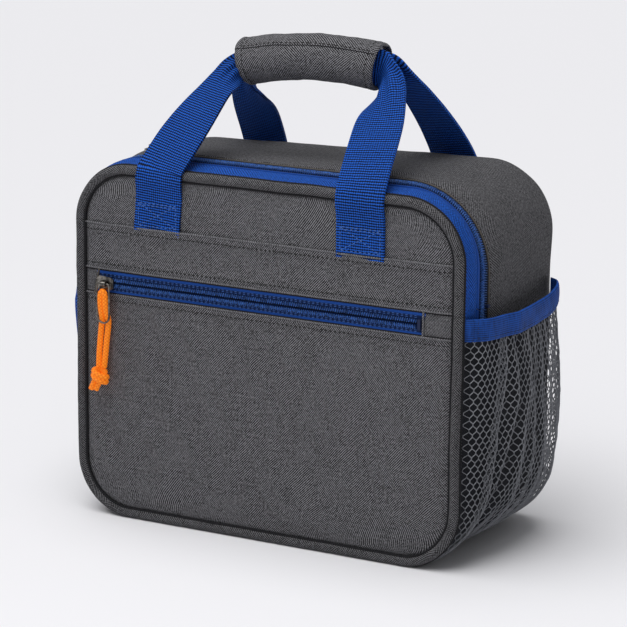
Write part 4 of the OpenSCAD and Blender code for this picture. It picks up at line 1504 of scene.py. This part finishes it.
class LUNCHBAG_OT_net_pockets(bpy.types.Operator):
    """Adds the two net side pockets with their elastic mouths"""
    bl_idname = "lunchbag.net_pockets"
    bl_label = "Net pockets"

    def execute(self, context):
        for side, word in ((1, "right"), (-1, "left")):
            net = self.net("net_" + word)
            elastic = self.elastic("elastic_" + word)
            # A thin dark sheet behind each net: painted shadow on the bag's side.
            backing = self.backing("net_backing_" + word, side)
            stitches = self.elastic_stitches()
            if side < 0:
                for piece, stand in ((net, LEFT_STAND), (elastic, LEFT_STAND), (backing, 1)):
                    for vertex in piece.data.vertices:
                        flat = side_x(vertex.co.y, vertex.co.z)
                        vertex.co.x = -flat - (vertex.co.x - flat) * stand
                    in_edit(piece, lambda: bpy.ops.mesh.flip_normals())
                stitches = [[(Vector((-side_x(p.y, p.z) - (p.x - side_x(p.y, p.z)) * LEFT_STAND, p.y, p.z)),
                              Vector((-n.x, n.y, n.z))) for p, n in line] for line in stitches]
            dressed(net, net_thread, "bag_body", ["mesh_pocket_" + word])
            dressed(elastic, elastic_rib, "bag_body", ["elastic_" + word])
            dressed(backing, side_lining, "bag_body")
            NET_CUT[0] * NET_CUT[1] * NET_COVER
            stitched("elastic_%s_stitches" % word, stitches, "bag_body", navy_thread, 0.45 * MM)
        return {"FINISHED"}

    def backing(self, name, side):
        """A painted shadow: thin dark cloth over the bag's side behind the net, where the net shades it."""
        def place(y, z):
            point, out = body_point(side * (FLAT + QUARTER + TOP - z), y) if z > CORNER_R else (None, None)
            x = max(side_x(y, z), abs(crumpled(point, out).x) if point else 0) + 0.5 * MM
            return Vector((x, y, z))

        heights = steps(NET_Z0 + 2 * MM, MOUTH_Z - 10 * MM, CLOTH_STEP)
        cloth = grid(name, steps(NET_Y0, NET_Y1, CLOTH_STEP), heights, place)
        return thickened(cloth, SHADOW_SHEET_T)

    def net(self, name):
        """Hexagons in rows, copied by arrays, then laid in folds over the pocket's shape."""
        width = sizes().net_cell
        height, short = width * 1.2, 0.13
        columns = round(NET_CUT[0] / width)
        row = (0.5 + short) * height
        rows = round(NET_CUT[1] / (2 * row))
        bpy.ops.object.select_all(action="DESELECT")
        bpy.ops.mesh.primitive_circle_add(vertices=6, radius=height / 2, fill_type="NGON")
        piece = bpy.context.object
        piece.name = piece.data.name = name
        for vertex in piece.data.vertices:
            vertex.co.x *= width / (height * math.cos(math.pi / 6))
            if abs(vertex.co.y) < 0.3 * height:
                vertex.co.y = math.copysign(short * height, vertex.co.y)
        for count, offset in ((columns, (width, 0, 0)), (2, (width / 2, row, 0)), (rows, (0, 2 * row, 0))):
            modified(piece, "ARRAY", count=count, use_relative_offset=False, use_constant_offset=True,
                     constant_offset_displace=offset, use_merge_vertices=True, merge_threshold=0.05 * MM)
        across = [v.co.x for v in piece.data.vertices]
        up = [v.co.y for v in piece.data.vertices]
        for vertex in piece.data.vertices:
            p = (vertex.co.x - min(across)) / (max(across) - min(across))
            q = (vertex.co.y - min(up)) / (max(up) - min(up))
            vertex.co = self.hang(p, q)
        modified(piece, "WIREFRAME", thickness=sizes().net_thread, use_even_offset=False)
        return smooth(piece, 80)

    def hang(self, p, q):
        """Where the net's point p of the way back and q of the way up hangs."""
        z = NET_Z0 + q * (MOUTH_Z - 9 * MM - NET_Z0)
        sag = (1 - q) ** 2
        fade = math.sin(math.pi * p) ** 0.5 * (0.3 + 0.7 * math.sin(math.pi * min(1, 0.1 + 0.85 * q)))
        drift = 0.04 * math.sin(4.1 * q + 0.6)
        wave = math.sin(TAU * (3.3 * (p + drift)) + 0.9) * 0.6
        wave += math.sin(TAU * (8.7 * (p - drift)) + 2) * 0.4
        pleat = math.sin(TAU * 13 * p + 3 * math.sin(5 * q)) * eased((q - 0.55) / 0.4)
        first = 0.24 - 0.13 * sag + 0.012 * math.sin(9 * q)
        second = 0.35 - 0.15 * sag - 0.01 * math.sin(7 * q)
        valley = bell(p - first, 0.028) + 0.75 * bell(p - second, 0.024)
        spread = 0.05 * (bell(p - first + 0.07, 0.06) - bell(p - first - 0.03, 0.05))
        pulled = 0.12 * sag * bell(p - 0.42, 0.26)
        along = p ** 0.88 - pulled
        if 0 < p < 0.5:
            fading = hump(2 * p + 0.08) ** 0.2
            along = p ** 0.88 + (spread * min(1, 4 * p) - pulled) * fading
        y = NET_Y0 + (NET_Y1 - NET_Y0) * limited(along)
        fold = (1.5 * wave - 6.5 * valley + 1.0 * pleat) * MM * fade
        fold += soft((p * 0.13, 0.4, z), 8 * MM, 1.0 * MM) * fade
        return net_place(y, z, fold)

    def elastic(self, name):
        half = (MOUTH_Z - NET_TOP) / 2

        def place(y, a):
            z = NET_TOP + half + half * math.sin(a)
            across = net_across(y)
            thick = 1.9 * MM if math.cos(a) > 0 else -0.2 * MM
            x = side_x(y, z) + NET_GAP + mouth_stand(across) + thick * abs(math.cos(a)) ** 0.45
            gather = 0.3 * MM * math.sin(TAU * y / (2.4 * MM)) * bell(across, 0.1)
            return Vector((x + gather + soft((y, 0.2, z), 8 * MM, 0.25 * MM), y, z - mouth_droop(across)))

        angles = [-1.5708, -1.35, -1.1, -0.75, -0.35, 0, 0.35, 0.75, 1.1, 1.35, 1.5708]
        loop = angles + [math.pi - a for a in angles[-2::-1]]
        columns = steps(NET_Y0, NET_Y0 + 18 * MM, 0.6 * MM) + steps(NET_Y0 + 18 * MM, NET_Y1, 2 * MM)[1:]
        piece = grid(name, columns, loop, place, lambda y, a: (y, half * math.sin(a)))
        return smooth(faced_out(capped(welded(piece))))

    def elastic_stitches(self):
        out = Vector((1, 0, 0))
        bottom = []
        for y in steps(NET_Y0 + 2 * MM, NET_Y1 - 2 * MM, 3 * MM):
            across = net_across(y)
            x = side_x(y, NET_TOP) + NET_GAP + mouth_stand(across) + 1.75 * MM
            bottom.append((Vector((x, y, NET_TOP + 2.4 * MM - mouth_droop(across))), out))
        x = bottom[1][0].x
        front = [(Vector((x, NET_Y0 + 4 * MM, z)), out)
                 for z in steps(NET_TOP + 1 * MM, MOUTH_Z - 1 * MM, 3 * MM)]
        return [bottom, front]


class LUNCHBAG_OT_pull(bpy.types.Operator):
    """Adds the front pocket's cord pull and its knot"""
    bl_idname = "lunchbag.pull"
    bl_label = "Cord pull"

    # the cord's route, counted from the middle of the pull's pin, in millimetres
    route = (
        (-3.9, 0.9, -53), (-3.8, 1.3, -45), (-3.3, 1.8, -36), (-2.7, 2.4, -27), (-2.0, 2.2, -22.5),
        (-1.7, 0.7, -18), (-1.7, -0.3, -13), (-1.6, -0.5, -8), (-1.1, -0.5, -5.6),
        (0, -0.5, -4.6),
        (1.1, -0.5, -5.6), (1.6, -0.5, -8), (1.7, -0.3, -13), (1.9, 0.7, -18),
        (2.3, 2.2, -22.5), (2.1, 2.4, -27), (1.3, 1.8, -36), (0.6, 1.3, -45), (-0.2, 0.9, -53))

    def execute(self, context):
        pin = Vector((middle("pocket_bail", 0), middle("pocket_bail", 1), high("pocket_bail", 2) - 0.6 * MM))
        points = [pin + Vector(p) * MM for p in self.route]
        fine = []
        for i in range(len(points) - 1):
            a, b, c = points[max(0, i - 1)], points[i], points[i + 1]
            d = points[min(len(points) - 1, i + 2)]
            for t in (0, 0.25, 0.5, 0.75):
                fine.append(0.5 * ((2 * b) + (c - a) * t + (2 * a - 5 * b + 4 * c - d) * t ** 2
                                   + (3 * b - a - 3 * c + d) * t ** 3))
        fine.append(points[-1])
        cord = tube("cord", fine, CORD_R, 14)
        dressed(cord, braided_cord, "pocket_pull", ["pull_cord"])

        heart = points[0] + Vector((1.9, -1.9, -5.2)) * MM
        coil = []
        for t in steps(0, 1, 1 / 64):
            turn = TAU * 2.6 * t
            size = (3.1 + 1.3 * math.sin(math.pi * t)) * MM
            across = Vector((math.cos(turn), math.sin(turn) * 0.75, 0)) * size
            coil.append(heart + across + Vector((0, 0, (3.9 - 7.8 * t) * MM - across.x * 0.3)))
        wraps = tube("knot_wraps", coil, 1.75 * MM, 12, flat=(0, 0, 1))
        tails = []
        for shift in (-1.6, 1.5):
            tail = [heart + Vector((shift * 1.15 - 0.9 * k, -0.1 * k, 1 - 2.0 * k)) * MM for k in range(6)]
            tails.append(tube("tail", tail, 1.7 * MM, 12))
        knot = joined([wraps] + tails, "knot")
        dressed(knot, braided_cord, "pocket_pull", ["pull_knot"])
        length = sum((b - a).length for a, b in zip(fine, fine[1:]))
        return {"FINISHED"}


class LUNCHBAG_OT_finish_frame(bpy.types.Operator):
    """Gives the frame's own visible parts their finishes"""
    bl_idname = "lunchbag.finish_frame"
    bl_label = "Frame finishes"

    makes = {
        "gunmetal": gunmetal, "foam": cut_foam, "liner": wiped_liner, "lining": dark_lining,
        "hook_loop": hook_and_loop, "zip_tape": navy_thread,
    }

    def execute(self, context):
        for row in frame["record"]["subparts"]:
            make = navy_thread if "stop" in row["node"] else self.makes.get(row["material_slot"])
            node = frame["nodes"][row["node"]]
            if make and not node.hide_render:
                node.data.materials.clear()
                node.data.materials.append(finish(make))
        return {"FINISHED"}


class LUNCHBAG_OT_stage(bpy.types.Operator):
    """Adds the floor, the lamps and the camera"""
    bl_idname = "lunchbag.stage"
    bl_label = "Stage"

    azimuth = math.radians(27.33)
    elevation = math.radians(14.06)
    distance = 1.709
    roll = math.radians(0.59)
    lens = 159.19                # in millimetres, on a frame 36 mm wide
    target = Vector((0.00009, 0, 0.12814))

    def execute(self, context):
        scene = bpy.context.scene
        scene.view_settings.view_transform = "Standard"
        bpy.ops.object.select_all(action="DESELECT")
        bpy.ops.mesh.primitive_plane_add(size=24, location=(0, 0, 0))
        floor = bpy.context.object
        floor.name = "floor"
        floor.data.materials.append(finish(matte_floor))

        world = bpy.data.worlds.new("studio")
        scene.world = world
        world.use_nodes = True
        sky = world.node_tree.nodes["Background"].inputs
        sky["Color"].default_value = (0.97, 0.98, 1, 1)
        sky["Strength"].default_value = 0.27

        bpy.ops.object.light_add(type="SUN", rotation=(math.radians(11), math.radians(-9), 0))
        sun = bpy.context.object
        sun.name = "soft_key"
        sun.data.energy = 2.2
        sun.data.angle = math.radians(62)

        bpy.ops.object.light_add(
            type="AREA", location=(0.02, -0.42, 0.56), rotation=(math.radians(46), 0, 0))
        fill = bpy.context.object
        fill.name = "upper_fill"
        fill.data.size = 0.45
        fill.data.energy = 0.75

        toward = Vector((math.sin(self.azimuth) * math.cos(self.elevation),
                         -math.cos(self.azimuth) * math.cos(self.elevation), math.sin(self.elevation)))
        bpy.ops.object.camera_add(location=self.target + toward * self.distance)
        camera = bpy.context.object
        camera.name = "camera"
        turn = (-toward).to_track_quat("-Z", "Y").to_matrix().to_4x4()
        camera.matrix_world = (Matrix.Translation(self.target + toward * self.distance) @ turn
                               @ Matrix.Rotation(self.roll, 4, "Z"))
        camera.data.sensor_width = 36
        camera.data.lens = self.lens
        camera.data.clip_end = 50
        scene.camera = camera
        return {"FINISHED"}


class LUNCHBAG_PT_panel(bpy.types.Panel):
    """Lists the bag's pieces in the sidebar"""
    bl_idname = "LUNCHBAG_PT_panel"
    bl_label = "Lunch bag"
    bl_space_type = "VIEW_3D"
    bl_region_type = "UI"
    bl_category = "Lunch bag"

    def draw(self, context):
        for group in (context.scene.lunch_bag_sizes, context.scene.lunch_bag_colours):
            for name in group.__annotations__:
                self.layout.prop(group, name)
        for operator in OPERATORS:
            self.layout.operator(operator.bl_idname)


OPERATORS = (
    LUNCHBAG_OT_stage, LUNCHBAG_OT_pull, LUNCHBAG_OT_shell, LUNCHBAG_OT_back, LUNCHBAG_OT_front,
    LUNCHBAG_OT_front_stitches, LUNCHBAG_OT_piping, LUNCHBAG_OT_main_zip, LUNCHBAG_OT_pocket_zip,
    LUNCHBAG_OT_webbing, LUNCHBAG_OT_grip, LUNCHBAG_OT_net_pockets, LUNCHBAG_OT_finish_frame,
)
CLASSES = (BagSizes, BagColours, *OPERATORS, LUNCHBAG_PT_panel)


def register():
    for cls in CLASSES:
        bpy.utils.register_class(cls)
    bpy.types.Scene.lunch_bag_sizes = bpy.props.PointerProperty(type=BagSizes)
    bpy.types.Scene.lunch_bag_colours = bpy.props.PointerProperty(type=BagColours)


def unregister():
    del bpy.types.Scene.lunch_bag_colours
    del bpy.types.Scene.lunch_bag_sizes
    for cls in reversed(CLASSES):
        bpy.utils.unregister_class(cls)


def main():
    register()
    for operator in OPERATORS:
        group, name = operator.bl_idname.split(".")
        getattr(getattr(bpy.ops, group), name)()


if __name__ == "__main__":
    main()
